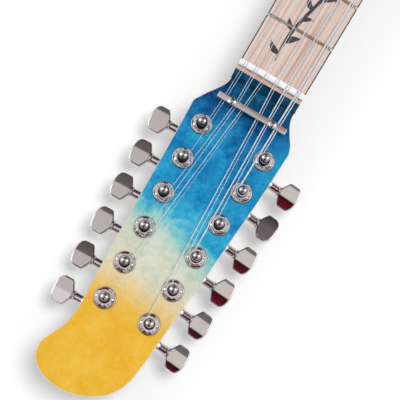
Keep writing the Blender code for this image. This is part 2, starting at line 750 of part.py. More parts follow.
def worm_shaft_mesh():
    """Worm, shaft and collar of a key in one skin, about local X."""
    slope = math.tan(PRESSURE_ANGLE)
    bm = bmesh.new()

    def point(x, radius, step):
        angle = math.pi + 2 * math.pi * (step / THREAD_STEPS - THREAD_TURNS / 2)
        return bm.verts.new((x, radius * math.cos(angle), radius * math.sin(angle)))

    rows = []
    for step in range(round(THREAD_TURNS * THREAD_STEPS) + 1):
        x = (step / THREAD_STEPS - THREAD_TURNS / 2) * LEAD
        foot = THREAD_HALF + WORM_DEDENDUM * slope
        crest = THREAD_HALF - ADDENDUM * slope
        rows.append([point(x - foot, WORM_CORE_RADIUS, step), point(x - crest, WORM_TIP_RADIUS, step),
                     point(x + crest, WORM_TIP_RADIUS, step), point(x + foot, WORM_CORE_RADIUS, step)])
    for here, ahead in zip(rows, rows[1:]):
        for i in range(3):
            bm.faces.new((here[i], here[i + 1], ahead[i + 1], ahead[i]))
    bm.faces.new(rows[0])
    bm.faces.new(rows[-1])
    for here, ahead, over, beyond in zip(rows, rows[1:], rows[THREAD_STEPS:], rows[THREAD_STEPS + 1:]):
        bm.faces.new((here[3], ahead[3], beyond[0], over[0]))
    start = [point(-WORM_HALF, WORM_CORE_RADIUS, j) for j in range(THREAD_STEPS)]
    skin_thread_end(bm, start, [row[0] for row in rows], [row[3] for row in rows])
    bm.faces.new(start)
    last = len(rows) - 1
    rings = [[point(x, radius, last - j) for j in range(THREAD_STEPS)]
             for x, radius in ((WORM_HALF, WORM_CORE_RADIUS), (COLLAR_START, WORM_CORE_RADIUS),
                               (COLLAR_START, COLLAR_RADIUS),
                               (COLLAR_START + COLLAR_THICKNESS, COLLAR_RADIUS))]
    skin_thread_end(bm, rings[0], [row[3] for row in rows[::-1]], [row[0] for row in rows[::-1]])
    for lower, upper in zip(rings, rings[1:]):
        for j in range(THREAD_STEPS):
            k = (j + 1) % THREAD_STEPS
            bm.faces.new((lower[j], lower[k], upper[k], upper[j]))
    bm.faces.new(rings[-1])
    return to_mesh("worm_shaft", bm)


def button_mesh(angle):
    """Button of a key: six-sided, wider than it is long, with a rim between its broad faces."""
    start = COLLAR_START + COLLAR_THICKNESS - FUSE
    end = COLLAR_START + COLLAR_THICKNESS + BUTTON_LENGTH
    side = [(start, BUTTON_NECK_HALF), (start + BUTTON_SHOULDER, BUTTON_HALF_WIDTH),
            (end - BUTTON_TAPER, BUTTON_HALF_WIDTH), (end, BUTTON_END_HALF)]
    outline = [(x, -y) for x, y in side] + [(x, y) for x, y in reversed(side)]
    middle = (start + end) / 2
    shrink_x = 1 - 2 * BUTTON_RIM / (end - start)
    shrink_y = 1 - BUTTON_RIM / BUTTON_HALF_WIDTH
    face = [(middle + (x - middle) * shrink_x, y * shrink_y) for x, y in outline]
    half = BUTTON_THICKNESS / 2
    button = lofted([[(x, y, z) for x, y in points]
                     for points, z in ((face, -half), (outline, 0), (face, half))])
    button.transform(Matrix.Rotation(angle, 4, "X"))
    return button


def tuner_housing_mesh():
    """Die-cast case with its bushing, washer and nut, hollow round the gear and the worm."""
    top = -HEAD_THICKNESS - GAP
    gear_room = around(GEAR_TIP_RADIUS, 10)
    worm_room = around(WORM_TIP_RADIUS, POST_SIDES)
    low_y = -GEAR_TIP_RADIUS - GAP - CASE_WALL
    high_y = AXIS_OFFSET + WORM_TIP_RADIUS + GAP + CASE_WALL
    cut = CASE_CORNER
    case = prism([(-CASE_INBOARD + cut, low_y), (CASE_OUTBOARD - cut, low_y),
                  (CASE_OUTBOARD, low_y + cut), (CASE_OUTBOARD, high_y),
                  (-CASE_INBOARD + cut, high_y), (-CASE_INBOARD, high_y - cut),
                  (-CASE_INBOARD, low_y + cut)], top - CASE_DEPTH, top)
    axis = (0, AXIS_OFFSET, GEAR_PLANE)
    seat = GAP + WASHER_THICKNESS
    corner = NUT_FLATS / 2 / math.cos(math.pi / 6)
    half_gear = GEAR_FACE / 2 + GAP
    joins = [turned([(SLEEVE_RADIUS, CASE_OUTBOARD - FUSE), (SLEEVE_RADIUS, SLEEVE_END)],
                    POST_SIDES, "X", axis),
             turned([(BUSH_RADIUS, top - FUSE), (BUSH_RADIUS, seat)], POST_SIDES),
             turned([(WASHER_RADIUS, GAP), (WASHER_RADIUS, seat)], WASHER_SIDES),
             prism(circle(corner, 6), seat - FUSE, seat + NUT_HEIGHT)]
    worm_end = WORM_HALF + GAP
    cuts = [turned([(gear_room, GEAR_PLANE - half_gear), (gear_room, GEAR_PLANE + half_gear)], 10),
            turned([(worm_room, -worm_end), (worm_room, worm_end)], POST_SIDES, "X", axis),
            turned([(around(POST_RADIUS, POST_SIDES), z) for z in (GEAR_PLANE, BUSH_TOP + CUT)],
                   POST_SIDES),
            turned([(around(WORM_CORE_RADIUS, POST_SIDES), x) for x in (0, SLEEVE_END + CUT)],
                   POST_SIDES, "X", axis)]
    return combine(case, joins, cuts)


def build_tuners():
    """A housing, a geared post and a worm key for each string."""
    treble = (tuner_post_mesh(), worm_shaft_mesh(), tuner_housing_mesh())
    meshes = {1: treble, -1: tuple(mirrored(mesh) for mesh in treble)}
    for number, (place, turn, side) in enumerate(tuner_places(), start=1):
        post, shaft, housing = meshes[side]
        button = button_mesh(KEY_ANGLES[number - 1])
        key = combine(shaft.copy(), [mirrored(button) if side < 0 else button])
        axis = Matrix.Rotation(turn, 3, "Z") @ Vector((0, AXIS_OFFSET, GEAR_PLANE))
        add_object(f"tuner_housing_{number:02d}", housing, "chrome", place, turn, True)
        add_object(f"tuner_post_{number:02d}", post, "chrome", place, turn, True)
        add_object(f"tuner_key_{number:02d}", key, "chrome", place + axis, turn, True)


def wrap_points(index, place, side):
    """The string's turns round its post: from the post's inner side, upwards."""
    gauge = GAUGES[index]
    radius = (POST_WAIST_RADIUS + GAP) / math.cos(math.pi / WRAP_POINTS) + gauge / 2
    climb = gauge + WRAP_SPACE
    low = POST_SHOULDER + 2 * GAP + gauge / 2
    turns = min(WRAP_TURNS, (POST_NECK_TOP - GAP - gauge / 2 - low) / climb)
    points = []
    for step in range(math.floor(turns * WRAP_POINTS) + 1):
        share = step / WRAP_POINTS
        angle = math.pi * (1 - 2 * share)
        points.append((place.x + side * radius * math.cos(angle),
                       place.y + radius * math.sin(angle), place.z + low + climb * share))
    return points


def string_route(index):
    """Ball end, bridge hole, saddle, nut slot, bar and post, as (point, radius) pairs."""
    radius = GAUGES[index] / 2
    bridge_x = string_x(index, COURSE_PITCH_BRIDGE, PAIR_PITCH_BRIDGE)
    nut_x = string_x(index, COURSE_PITCH_NUT, PAIR_PITCH_NUT)
    bar_x = BAR_CROSSINGS[index]
    hole = BODY_TOP + STRING_HOLE_ROWS[index % 2]
    ball = -BRIDGE_BACK - GAP
    crest = saddle_height(index)
    nut_z = nut_height(index)
    bar_z = HEAD_FACE + BAR_UNDERSIDE - GAP - radius
    bar_y = NUT_Y + BAR_CENTRE
    route = [((bridge_x, ball - BALL_LENGTH, hole), BALL_RADIUS),
             ((bridge_x, ball - GAP, hole), BALL_RADIUS), ((bridge_x, ball, hole), radius),
             ((bridge_x, -BRIDGE_BACK + BRIDGE_WALL + GAP, hole), radius),
             ((bridge_x, -SADDLE_CREST, crest), radius), ((bridge_x, 0, crest), radius),
             ((nut_x, NUT_Y, nut_z), radius), ((nut_x, NUT_Y + NUT_LENGTH, nut_z - NUT_FALL), radius),
             ((bar_x, bar_y - BAR_WIDTH / 2, bar_z), radius),
             ((bar_x, bar_y + BAR_WIDTH / 2, bar_z), radius)]
    place, _, side = tuner_places()[index]
    return route + [(point, radius) for point in wrap_points(index, place, side)]


def build_strings():
    for index in range(STRINGS):
        route = string_route(index)
        curve = bpy.data.curves.new(f"string_{index + 1:02d}", "CURVE")
        curve.dimensions = "3D"
        curve.bevel_depth = GAUGES[index] / 2
        curve.bevel_resolution = 1
        curve.use_fill_caps = True
        spline = curve.splines.new("POLY")
        spline.points.add(len(route) - 1)
        for point, (place, radius) in zip(spline.points, route):
            point.co = (*place, 1)
            point.radius = radius / curve.bevel_depth
        add_object(curve.name, curve, "steel_string")


def saddle(course, base):
    """A saddle block that rises from the plate to a crest under its pair of strings."""
    x = course_x(course, COURSE_PITCH_BRIDGE)
    top = CROWN_TOP + SADDLE_RISE - GAP - crown(abs(x) + PAIR_PITCH_BRIDGE / 2)
    low = base + BRIDGE_PLATE / 2
    profile = [(-SADDLE_BACK, low), (SADDLE_FRONT, low), (SADDLE_FRONT, top - SADDLE_CREST),
               (SADDLE_CREST, top), (-SADDLE_CREST, top), (-SADDLE_BACK, base + 2 * BRIDGE_PLATE)]
    half = SADDLE_WIDTH / 2
    return lofted([[(x + side, y, z) for y, z in profile] for side in (-half, half)])


def build_bridge():
    """Fixed bridge: base plate, rear wall with two rows of string holes, and the saddles."""
    base = BODY_TOP + GAP
    plate = box((0, (BRIDGE_FRONT - BRIDGE_BACK) / 2, base + BRIDGE_PLATE / 2),
                (BRIDGE_WIDTH, BRIDGE_FRONT + BRIDGE_BACK, BRIDGE_PLATE))
    wall = prism(rectangle(0, -BRIDGE_BACK + BRIDGE_WALL / 2, BRIDGE_WIDTH / 2 - BRIDGE_WALL_INSET,
                           BRIDGE_WALL / 2), base + BRIDGE_PLATE / 2, BODY_TOP + BRIDGE_WALL_TOP)
    joins = [wall] + [saddle(course, base) for course in range(COURSES)]
    holes = bmesh.new()
    for index in range(STRINGS):
        centre = (string_x(index, COURSE_PITCH_BRIDGE, PAIR_PITCH_BRIDGE),
                  BODY_TOP + STRING_HOLE_ROWS[index % 2])
        ring = circle(STRING_HOLE_RADIUS, 6, centre)
        loft(holes, [[(x, y, z) for x, z in ring]
                     for y in (-BRIDGE_BACK - CUT, -BRIDGE_BACK + BRIDGE_WALL + CUT)])
    add_object("bridge", combine(plate, joins, [to_mesh("holes", holes)]), "nickel")


def build_pickup(name, y):
    """Humbucking pickup in its mounting ring, with a pole screw under each course."""
    share = y / NUT_Y
    pitch = COURSE_PITCH_BRIDGE + (COURSE_PITCH_NUT - COURSE_PITCH_BRIDGE) * share
    string_z = CROWN_TOP + SADDLE_RISE + (STRING_OVER_FRET - SADDLE_RISE) * share
    top = string_z - PICKUP_UNDER_STRINGS - crown(PICKUP_WIDTH / 2)
    bottom = BODY_TOP - PICKUP_DEPTH
    cover = box((0, y, (top + bottom) / 2), (PICKUP_WIDTH, PICKUP_LENGTH, top - bottom))
    ring = box((0, y, BODY_TOP + GAP + RING_HEIGHT / 2),
               (PICKUP_WIDTH + 2 * RING_MARGIN_X, PICKUP_LENGTH + 2 * RING_MARGIN_Y, RING_HEIGHT))
    poles = [turned([(POLE_RADIUS, top - FUSE), (POLE_RADIUS, top + POLE_HEIGHT)], 6,
                    place=(course_x(course, pitch), y + PICKUP_LENGTH / 4, 0))
             for course in range(COURSES)]
    mesh = combine(bevelled(cover, PICKUP_CORNER), [bevelled(ring, RING_EDGE)] + poles)
    add_object(name, mesh, "black_plastic")


def build_knob(name, place):
    """Knob on its stem; the origin is on the stem's axis at the body's top."""
    profile = [(KNOB_STEM_RADIUS, -KNOB_STEM_DEPTH), (KNOB_STEM_RADIUS, KNOB_FOOT),
               (KNOB_RADIUS, KNOB_FOOT), (KNOB_RADIUS, KNOB_HEIGHT - KNOB_EDGE),
               (KNOB_RADIUS - KNOB_EDGE, KNOB_HEIGHT)]
    add_object(name, turned(profile, 20), "nickel", (*place, BODY_TOP), smooth=True)


def build_selector():
    """Selector lever; the origin is on its pivot, so it swings about X."""
    half = SLOT_WIDTH / 2 - GAP
    barrel = turned([(SELECTOR_BARREL_RADIUS, -half), (SELECTOR_BARREL_RADIUS, half)], 12, "X")
    top = SELECTOR_PIVOT_DEPTH + LEVER_TOP
    blade = box((0, 0, top / 2), (LEVER_THICKNESS, LEVER_WIDTH, top))
    tip = box((0, 0, top + LEVER_TIP_SIZE[2] / 2 - FUSE), LEVER_TIP_SIZE)
    add_object("pickup_selector", combine(barrel, [blade, bevelled(tip, LEVER_TIP_EDGE)]),
               "black_plastic", (*SELECTOR_PLACE, BODY_TOP - SELECTOR_PIVOT_DEPTH))


def main():
    clear_scene()
    build_body()
    build_neck()
    build_fretboard()
    build_nut()
    build_string_bar()
    build_tuners()
    build_strings()
    build_bridge()
    build_pickup("neck_pickup", NECK_PICKUP_Y)
    build_pickup("bridge_pickup", BRIDGE_PICKUP_Y)
    build_knob("volume_knob", VOLUME_PLACE)
    build_knob("tone_knob", TONE_PLACE)
    build_selector()
    build_output_jack()


main()
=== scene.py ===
"""The finished look of a twelve-string electric guitar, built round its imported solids.

Lengths are in metres. Tables of points are in millimetres and pass through metres().
"""

import json
import math

import bmesh
import bpy
from bpy.props import FloatProperty, FloatVectorProperty, IntProperty, PointerProperty
from mathutils import Matrix, Vector


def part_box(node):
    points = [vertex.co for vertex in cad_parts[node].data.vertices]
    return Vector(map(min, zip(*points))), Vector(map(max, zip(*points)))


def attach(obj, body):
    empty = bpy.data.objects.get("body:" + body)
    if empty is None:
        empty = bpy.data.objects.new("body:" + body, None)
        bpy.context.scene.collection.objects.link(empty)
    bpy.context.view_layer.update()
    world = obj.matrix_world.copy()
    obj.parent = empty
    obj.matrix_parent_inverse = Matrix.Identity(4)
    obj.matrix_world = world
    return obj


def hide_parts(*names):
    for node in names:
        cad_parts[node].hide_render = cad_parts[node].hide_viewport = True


bl_info = {
    "name": "Twelve-String Electric Guitar",
    "version": (1, 0, 0),
    "blender": (4, 5, 0),
    "location": "3D View > Sidebar > Guitar",
    "description": "Builds the guitar's finished pieces, materials and studio",
    "category": "Object",
}

MM = 0.001
UP = Vector((0, 0, 1))
UNMOVED = Matrix.Identity(4)
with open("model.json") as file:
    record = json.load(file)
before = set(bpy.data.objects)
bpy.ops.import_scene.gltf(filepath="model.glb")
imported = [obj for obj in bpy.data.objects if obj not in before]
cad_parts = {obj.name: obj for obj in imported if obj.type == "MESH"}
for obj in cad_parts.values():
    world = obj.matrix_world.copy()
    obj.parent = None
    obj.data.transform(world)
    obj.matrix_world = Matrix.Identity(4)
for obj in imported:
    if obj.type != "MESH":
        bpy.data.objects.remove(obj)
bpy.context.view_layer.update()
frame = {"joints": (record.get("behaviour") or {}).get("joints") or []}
JOINTS = {joint["name"]: joint for joint in frame["joints"]}
ROOT = "guitar"

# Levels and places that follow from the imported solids
NUT_LOW, NUT_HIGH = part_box("nut")
BOARD_LOW, BOARD_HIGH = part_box("fretboard")
BODY_LOW, BODY_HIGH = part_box("body")
JACK_LOW, JACK_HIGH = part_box("output_jack")
NUT_Y = NUT_LOW.y
NUT_HALF = 24.1 * MM
BOARD_TAPER = 0.0135
GAP = 0.3 * MM
FRET_RISE = 1.1 * MM
BOARD_TOP = BOARD_HIGH.z - FRET_RISE
BOARD_UNDER = BOARD_LOW.z
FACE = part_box("string_bar")[0].z - GAP
HEAD_BACK = FACE - 12.7 * MM
BODY_TOP = BODY_HIGH.z
STRINGS = 12
COURSES = 6

# Outline of the headstock: millimetres from the centre line and from the front of the nut
HEAD_OUTLINE = [
    (24.0, 8), (24.1, 11.5), (24.9, 16), (28.2, 22), (32.4, 28), (35.6, 33.4), (37.5, 36.8),
    (37.7, 39.6), (37.0, 54), (36.3, 75), (35.7, 98), (34.9, 122), (34.1, 146), (33.0, 168),
    (31.9, 187), (32.0, 194), (32.9, 201), (34.9, 207.5), (38.0, 213.6), (40.3, 219),
    (41.0, 224), (39.6, 229.6), (35.7, 234.4), (29.6, 238.0), (22.2, 240.0), (15, 240.3),
    (7.8, 239.2), (0.7, 236.9), (-6.3, 233.3), (-12.4, 228.4), (-16.9, 222.2), (-19.8, 214.8),
    (-21.3, 206.2), (-22.2, 198.4), (-23.0, 188.8), (-23.9, 177.4), (-25.2, 164.2),
    (-26.6, 150), (-27.9, 136), (-29.1, 120), (-30.4, 104), (-31.9, 85), (-33.0, 70),
    (-33.9, 52), (-34.5, 39.6), (-34.3, 36.3), (-32.5, 31.4), (-29.2, 26.2), (-26.2, 20.9),
    (-24.5, 16), (-24.1, 11.5), (-24.0, 8)]
LEDGE_START = 4.25 * MM
LEDGE_END = 6.7 * MM
LEDGE_DROP = 1.6 * MM
SLOPE_END = 11.5 * MM

# Outline of the body in mm, anticlockwise from the bass to the treble corner of the heel
BODY_OUTLINE = [
    (-35.5, 224), (-36.5, 216), (-45, 204), (-66, 199), (-86, 226), (-103, 266), (-122, 290),
    (-140, 276), (-142, 236), (-128, 184), (-114, 138), (-118, 88), (-146, 38), (-158, -22),
    (-124, -80), (-63, -108), (0, -113), (62, -108), (120, -80), (155, -24), (140, 36), (112, 84),
    (110, 128), (130, 172), (137, 208), (122, 234), (103, 221), (86, 192), (62, 172), (43, 184),
    (36.5, 206), (35.5, 224)]
HEEL_Y = 230 * MM
HEEL_BLEND = 34 * MM

# Strings: gauges in thousandths of an inch, and where they run
GAUGES = [0.0254 * MM * g for g in (10, 10, 13, 13, 17, 8, 26, 12, 36, 18, 46, 26)]
WOUND = (6, 8, 9, 10, 11)
NUT_PITCHES = (7.86 * MM, 1.8 * MM)
BRIDGE_PITCHES = (10.4 * MM, 3.0 * MM)
BAR_CROSSINGS = [x * MM for x in (21.1, 19.4, 12.6, 11.0, 6.8, 5.3,
                                  -4.3, -5.9, -11.2, -12.7, -18.2, -20.0)]
BAR_UNDER = FACE + 6.2 * MM
BAR_CENTRE = 27.5 * MM
BAR_SCREWS = (15.0 * MM, -15.2 * MM)
BRIDGE_BACK = 26 * MM
STRING_HOLE_ROWS = (4.6 * MM, 8.2 * MM)

# Tuners: the keys' angles at rest, and levels of a post over the headstock's face
KEY_ANGLES = [math.radians(a) for a in (-4, 1, 3, -1, 5, -7, 2, 1, -3, -3, 10, -6)]
POST_SHOULDER = 4.4 * MM
POST_NECK_TOP = 8.2 * MM
POST_WAIST = 2.3 * MM
POST_CAP_LOW = 10.4 * MM
WIND_STEPS = 28

# The output jack: its nut and its rim plate
JACK_NUT = 2.4 * MM
JACK_PLATE = 3.0 * MM
JACK_SEAT = JACK_HIGH.x - JACK_NUT - JACK_PLATE


class GuitarSizes(bpy.types.PropertyGroup):
    """Sizes of the small forms that the finished pieces add."""

    edge_line: FloatProperty(
        name="Edge line", description="Width of the scraped natural edge of the headstock and body",
        default=0.9 * MM, unit="LENGTH")
    board_radius: FloatProperty(
        name="Fingerboard radius", description="Radius of the arch across the fingerboard",
        default=305 * MM, unit="LENGTH")
    board_border: FloatProperty(
        name="Border line", description="Width of the black line along the fingerboard's edges",
        default=0.8 * MM, unit="LENGTH")
    frets: IntProperty(name="Frets", description="Number of frets", default=24, min=1)
    fret_width: FloatProperty(
        name="Fret width", description="Width of a fret's crown", default=2.3 * MM, unit="LENGTH")
    inlay_width: FloatProperty(
        name="Vine width", description="Width of the inlaid vine's stem", default=2.3 * MM,
        unit="LENGTH")
    leaf_length: FloatProperty(
        name="Leaf length", description="Length of a leaf of the inlaid vine", default=12 * MM,
        unit="LENGTH")
    key_crown: FloatProperty(
        name="Key crown radius", description="Radius of the bow across a key's broad faces",
        default=60 * MM, unit="LENGTH")
    knob_ridges: IntProperty(
        name="Knob ridges", description="Number of ridges round a knob", default=60, min=8)


class GuitarColours(bpy.types.PropertyGroup):
    """Colours that a user would change, as linear values."""

    amber: FloatVectorProperty(
        name="Amber stain", description="Stain at the tip of the headstock", subtype="COLOR",
        default=(0.86, 0.50, 0.05), size=3)
    lacquer: FloatVectorProperty(
        name="Lacquer", description="Lacquer of the back and sides", subtype="COLOR",
        default=(0.0035, 0.0035, 0.0042), size=3)
    plating: FloatVectorProperty(
        name="Plating", description="Tint of the plated tuner parts", subtype="COLOR",
        default=(0.74, 0.70, 0.70), size=3)


# Small tools for forms

def metres(points):
    """Tuples of millimetres as tuples of metres."""
    return [tuple(value * MM for value in point) for point in points]


def clamped(t):
    """A share held between 0 and 1."""
    return min(max(t, 0.0), 1.0)


def smooth_step(t):
    """A soft step from 0 to 1."""
    t = clamped(t)
    return t * t * (3 - 2 * t)


def crown(x):
    """How far the arched fingerboard falls away at the distance x from the centre line."""
    return x * x / (2 * bpy.context.scene.guitar_sizes.board_radius)


def board_half(y):
    """Half the fingerboard's width at a place along it."""
    return NUT_HALF + BOARD_TAPER * (NUT_Y - y)


def curve_through(points, steps):
    """Points on a smooth curve through the given ones."""
    points = [Vector(point) for point in points]
    ends = [points[0], *points, points[-1]]
    path = []
    for a, b, c, d in zip(ends, ends[1:], ends[2:], ends[3:]):
        for step in range(steps):
            t = step / steps
            bend = (2 * a - 5 * b + 4 * c - d) * t * t + (3 * b - a - 3 * c + d) * t * t * t
            path.append(b + ((c - a) * t + bend) / 2)
    return path + [points[-1]]


def inset(outline, distance):
    """An anticlockwise outline of 2D points, moved inwards by the distance."""
    moved = []
    for i, point in enumerate(outline):
        along = outline[(i + 1) % len(outline)] - outline[i - 1]
        moved.append(point + Vector((-along.y, along.x)).normalized() * distance)
    return moved


def arc(centre, radius, start, end, steps):
    """Points of a profile's round corner; the angles are in degrees."""
    angles = [math.radians(start + (end - start) * i / steps) for i in range(steps + 1)]
    return [(centre[0] + radius * math.cos(a), centre[1] + radius * math.sin(a)) for a in angles]


def rounding(edge, steps=3):
    """(inset, rise) steps of a rounded edge, from its flat side to its wall."""
    angles = [math.pi / 2 * i / steps for i in range(steps + 1)]
    return [(edge * (1 - math.sin(a)), edge * (1 - math.cos(a))) for a in angles]


def rounded_outline(half_x, half_y, radius, steps=5, centre=(0, 0)):
    """An anticlockwise rectangle with round corners."""
    points = []
    for sign_x, sign_y, start in ((1, 1, 0), (-1, 1, 90), (-1, -1, 180), (1, -1, 270)):
        corner = (centre[0] + sign_x * (half_x - radius), centre[1] + sign_y * (half_y - radius))
        points += [Vector(p) for p in arc(corner, radius, start, start + 90, steps)]
    return points


def skin(bm, rings, matrix=UNMOVED, slot_of=None, cap_slots=(0, 0), loop=False):
    """Joins rings of points by faces and closes both ends; a lone point closes an end by itself.

    slot_of gives the material's number of a band and a column, cap_slots those of the ends.
    With loop the last ring joins the first one.
    """
    rows = [[bm.verts.new(matrix @ Vector(point)) for point in ring] for ring in rings]
    if loop:
        rows.append(rows[0])
    count = max(len(row) for row in rows)
    for band, (lower, upper) in enumerate(zip(rows, rows[1:])):
        for i in range(count):
            j = (i + 1) % count
            corners = (lower[i % len(lower)], lower[j % len(lower)],
                       upper[j % len(upper)], upper[i % len(upper)])
            face = bm.faces.new(list(dict.fromkeys(corners)))
            if slot_of:
                face.material_index = slot_of(band, i)
    for row, slot in () if loop else zip((rows[0][::-1], rows[-1]), cap_slots):
        if len(row) > 1:
            bm.faces.new(row).material_index = slot
    return rows


def plate(bm, outline, levels, shares=None, matrix=UNMOVED):
    """A plate of (inset, height) levels over an outline, each with the slot of the band below.

    The shares, one for each point of the outline, hold back the insets at tight corners.
    """
    shares = shares or [1.0] * len(outline)
    slots = [(*level, 0)[2] for level in levels]
    rings = [[(*p.lerp(q, share), level[1])
              for p, q, share in zip(outline, inset(outline, level[0]), shares)]
             for level in levels]
    skin(bm, rings, matrix, lambda band, column: slots[band + 1], (slots[0], slots[-1]))


def rounded_block(bm, outline, low, high, edge):
    """A plate over an outline with rounded upper and lower edges."""
    steps = rounding(edge)
    plate(bm, outline, [(inward, low + rise) for inward, rise in steps]
          + [(inward, high - rise) for inward, rise in reversed(steps)])


def lathe(bm, profile, matrix=UNMOVED, segments=48, loop=False):
    """A turned form from (radius, height) points about Z; a radius of 0 closes an end.

    With loop the profile is closed, as round a bore.
    """
    angles = [2 * math.pi * i / segments for i in range(segments)]
    skin(bm, [[(radius * math.cos(a), radius * math.sin(a), height)
               for a in (angles if radius else angles[:1])] for radius, height in profile],
         matrix, loop=loop)


def turned(points, segments):
    """A small turned part, from (radius, height) points in millimetres."""
    bm = bmesh.new()
    lathe(bm, metres(points), segments=segments)
    return bm


def tube(bm, path, radius, sides):
    """A tube along a path; its run in metres is kept with its corners for winding patterns."""
    run_layer = bm.verts.layers.float.new("run")
    angles = [2 * math.pi * j / sides for j in range(sides)]
    across = UP
    rings, runs = [], []
    for i, point in enumerate(path):
        ahead = (path[min(i + 1, len(path) - 1)] - path[max(i - 1, 0)]).normalized()
        across = (across - ahead * across.dot(ahead)).normalized()
        side = ahead.cross(across)
        runs.append(runs[-1] + (point - path[i - 1]).length if i else 0.0)
        rings.append([point + (across * math.cos(a) + side * math.sin(a)) * radius
                      for a in angles])
    for row, run in zip(skin(bm, rings), runs):
        for vert in row:
            vert[run_layer] = run


def stand(name, data):
    """A new object in the scene."""
    thing = bpy.data.objects.new(name, data)
    bpy.context.scene.collection.objects.link(thing)
    return thing


def plain_mesh(name, bm):
    """The mesh of a form, with its faces turned outwards."""
    bmesh.ops.recalc_face_normals(bm, faces=bm.faces[:])
    mesh = bpy.data.meshes.new(name)
    bm.to_mesh(mesh)
    bm.free()
    return mesh


def evaluated_mesh(thing):
    """The mesh that an object's modifiers make; the object goes."""
    graph = bpy.context.evaluated_depsgraph_get()
    mesh = bpy.data.meshes.new_from_object(thing.evaluated_get(graph))
    bpy.data.objects.remove(thing, do_unlink=True)
    return mesh


def cut_away(bm, cutters):
    """The mesh of a form with other forms cut out of it."""
    base = stand("base", plain_mesh("base", bm))
    tools = [stand("cutter", plain_mesh("cutter", cutter)) for cutter in cutters]
    for tool in tools:
        modifier = base.modifiers.new("cut", "BOOLEAN")
        modifier.operation = "DIFFERENCE"
        modifier.solver = "EXACT"
        modifier.object = tool
    mesh = evaluated_mesh(base)
    for tool in tools:
        bpy.data.objects.remove(tool, do_unlink=True)
    return mesh


def piece(name, form, finishes, replaces=(), body=ROOT, smooth=40):
    """Makes a piece of a form, hangs it on the empty of the body it rides on, and hides the
    imported parts it stands for.
    """
    mesh = form if isinstance(form, bpy.types.Mesh) else plain_mesh(name, form)
    for key in finishes.split():
        mesh.materials.append(finish(key))
    mesh.shade_smooth()
    mesh.set_sharp_from_angle(angle=math.radians(smooth))
    made = stand(name, mesh)
    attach(made, body)
    if replaces:
        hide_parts(*replaces)


# Nodes

MATH, RANGE, MIX = "ShaderNodeMath", "ShaderNodeMapRange", "ShaderNodeMix"
NOISE, RAMP, BUMP = "ShaderNodeTexNoise", "ShaderNodeValToRGB", "ShaderNodeBump"


def add(tree, kind, inputs=(), output=0, into=None, stops=(), **settings):
    """Adds a node and gives one of its outputs.

    The inputs are set or linked, by order or by name; into is a socket that the output feeds,
    and stops are a ramp's places and sRGB codes.
    """
    node = tree.nodes.new(kind)
    for key, value in settings.items():
        setattr(node, key, value)
    for key, value in inputs.items() if isinstance(inputs, dict) else enumerate(inputs):
        if isinstance(value, bpy.types.NodeSocket):
            tree.links.new(value, node.inputs[key])
        else:
            node.inputs[key].default_value = value
    if stops:
        elements = node.color_ramp.elements
        while len(elements) < len(stops):
            elements.new(0.5)
        for element, (place, code) in zip(elements, stops):
            element.position = place
            element.color = hex_colour(code)
    if into:
        tree.links.new(node.outputs[output], into)
    return node.outputs[output]


def open_tree(name, inputs):
    """A Geometry Nodes tree with named inputs, and the outputs of its input node."""
    tree = bpy.data.node_groups.new(name, "GeometryNodeTree")
    for label, kind, default in (("Geometry", "Geometry", None), *inputs,
                                 ("Finish", "Material", None)):
        socket = tree.interface.new_socket(label, in_out="INPUT",
                                           socket_type="NodeSocket" + kind)
        if default is not None:
            socket.default_value = default
    tree.interface.new_socket("Geometry", in_out="OUTPUT", socket_type="NodeSocketGeometry")
    return tree, tree.nodes.new("NodeGroupInput").outputs


def close_tree(tree, source, instances):
    """Ends a tree in real geometry with its material set."""
    realized = add(tree, "GeometryNodeRealizeInstances", {"Geometry": instances})
    add(tree, "GeometryNodeSetMaterial", {"Geometry": realized, "Material": source["Finish"]},
        into=tree.nodes.new("NodeGroupOutput").inputs["Geometry"])
    return tree


def copies_tree(name):
    """A tree that stands a part on each point, turned by the point's 'turn' attribute."""
    tree, source = open_tree(name, [("Part", "Object", None), ("Scale", "Float", 1.0)])
    part = add(tree, "GeometryNodeObjectInfo", {"Object": source["Part"]}, "Geometry")
    turn = add(tree, "GeometryNodeInputNamedAttribute", {"Name": "turn"}, "Attribute",
               data_type="FLOAT_VECTOR")
    points = add(tree, "GeometryNodeMeshToPoints", {"Mesh": source["Geometry"]})
    return close_tree(tree, source, add(tree, "GeometryNodeInstanceOnPoints", {
        "Points": points, "Instance": part, "Rotation": turn, "Scale": source["Scale"]}))


def frets_tree(name):
    """A tree that lays a wire at each fret's place, as long as the fingerboard is wide there."""
    tree, source = open_tree(name, [
        ("Scale Length", "Float", 0.648), ("Nut Half Width", "Float", NUT_HALF),
        ("Taper", "Float", BOARD_TAPER), ("Level", "Float", 0.055), ("Frets", "Int", 24),
        ("Wire", "Object", None)])
    length = source["Scale Length"]
    line = add(tree, "GeometryNodeMeshLine", {"Count": source["Frets"]})
    index = add(tree, "GeometryNodeInputIndex")
    number = add(tree, MATH, (index, 1.0), operation="ADD")
    octaves = add(tree, MATH, (number, -12.0), operation="DIVIDE")
    share = add(tree, MATH, (2.0, octaves), operation="POWER")
    place_y = add(tree, MATH, (length, share), operation="MULTIPLY")
    place = add(tree, "ShaderNodeCombineXYZ", {"Y": place_y, "Z": source["Level"]})
    points = add(tree, "GeometryNodeSetPosition", {"Geometry": line, "Position": place})
    past_nut = add(tree, MATH, (length, place_y), operation="SUBTRACT")
    spread = add(tree, MATH, (past_nut, source["Taper"]), operation="MULTIPLY")
    half = add(tree, MATH, (source["Nut Half Width"], spread), operation="ADD")
    wide = add(tree, "ShaderNodeCombineXYZ", (half, 1.0, 1.0))
    wire = add(tree, "GeometryNodeObjectInfo", {"Object": source["Wire"]}, "Geometry")
    return close_tree(tree, source, add(tree, "GeometryNodeInstanceOnPoints", {
        "Points": points, "Instance": wire, "Scale": wide}))


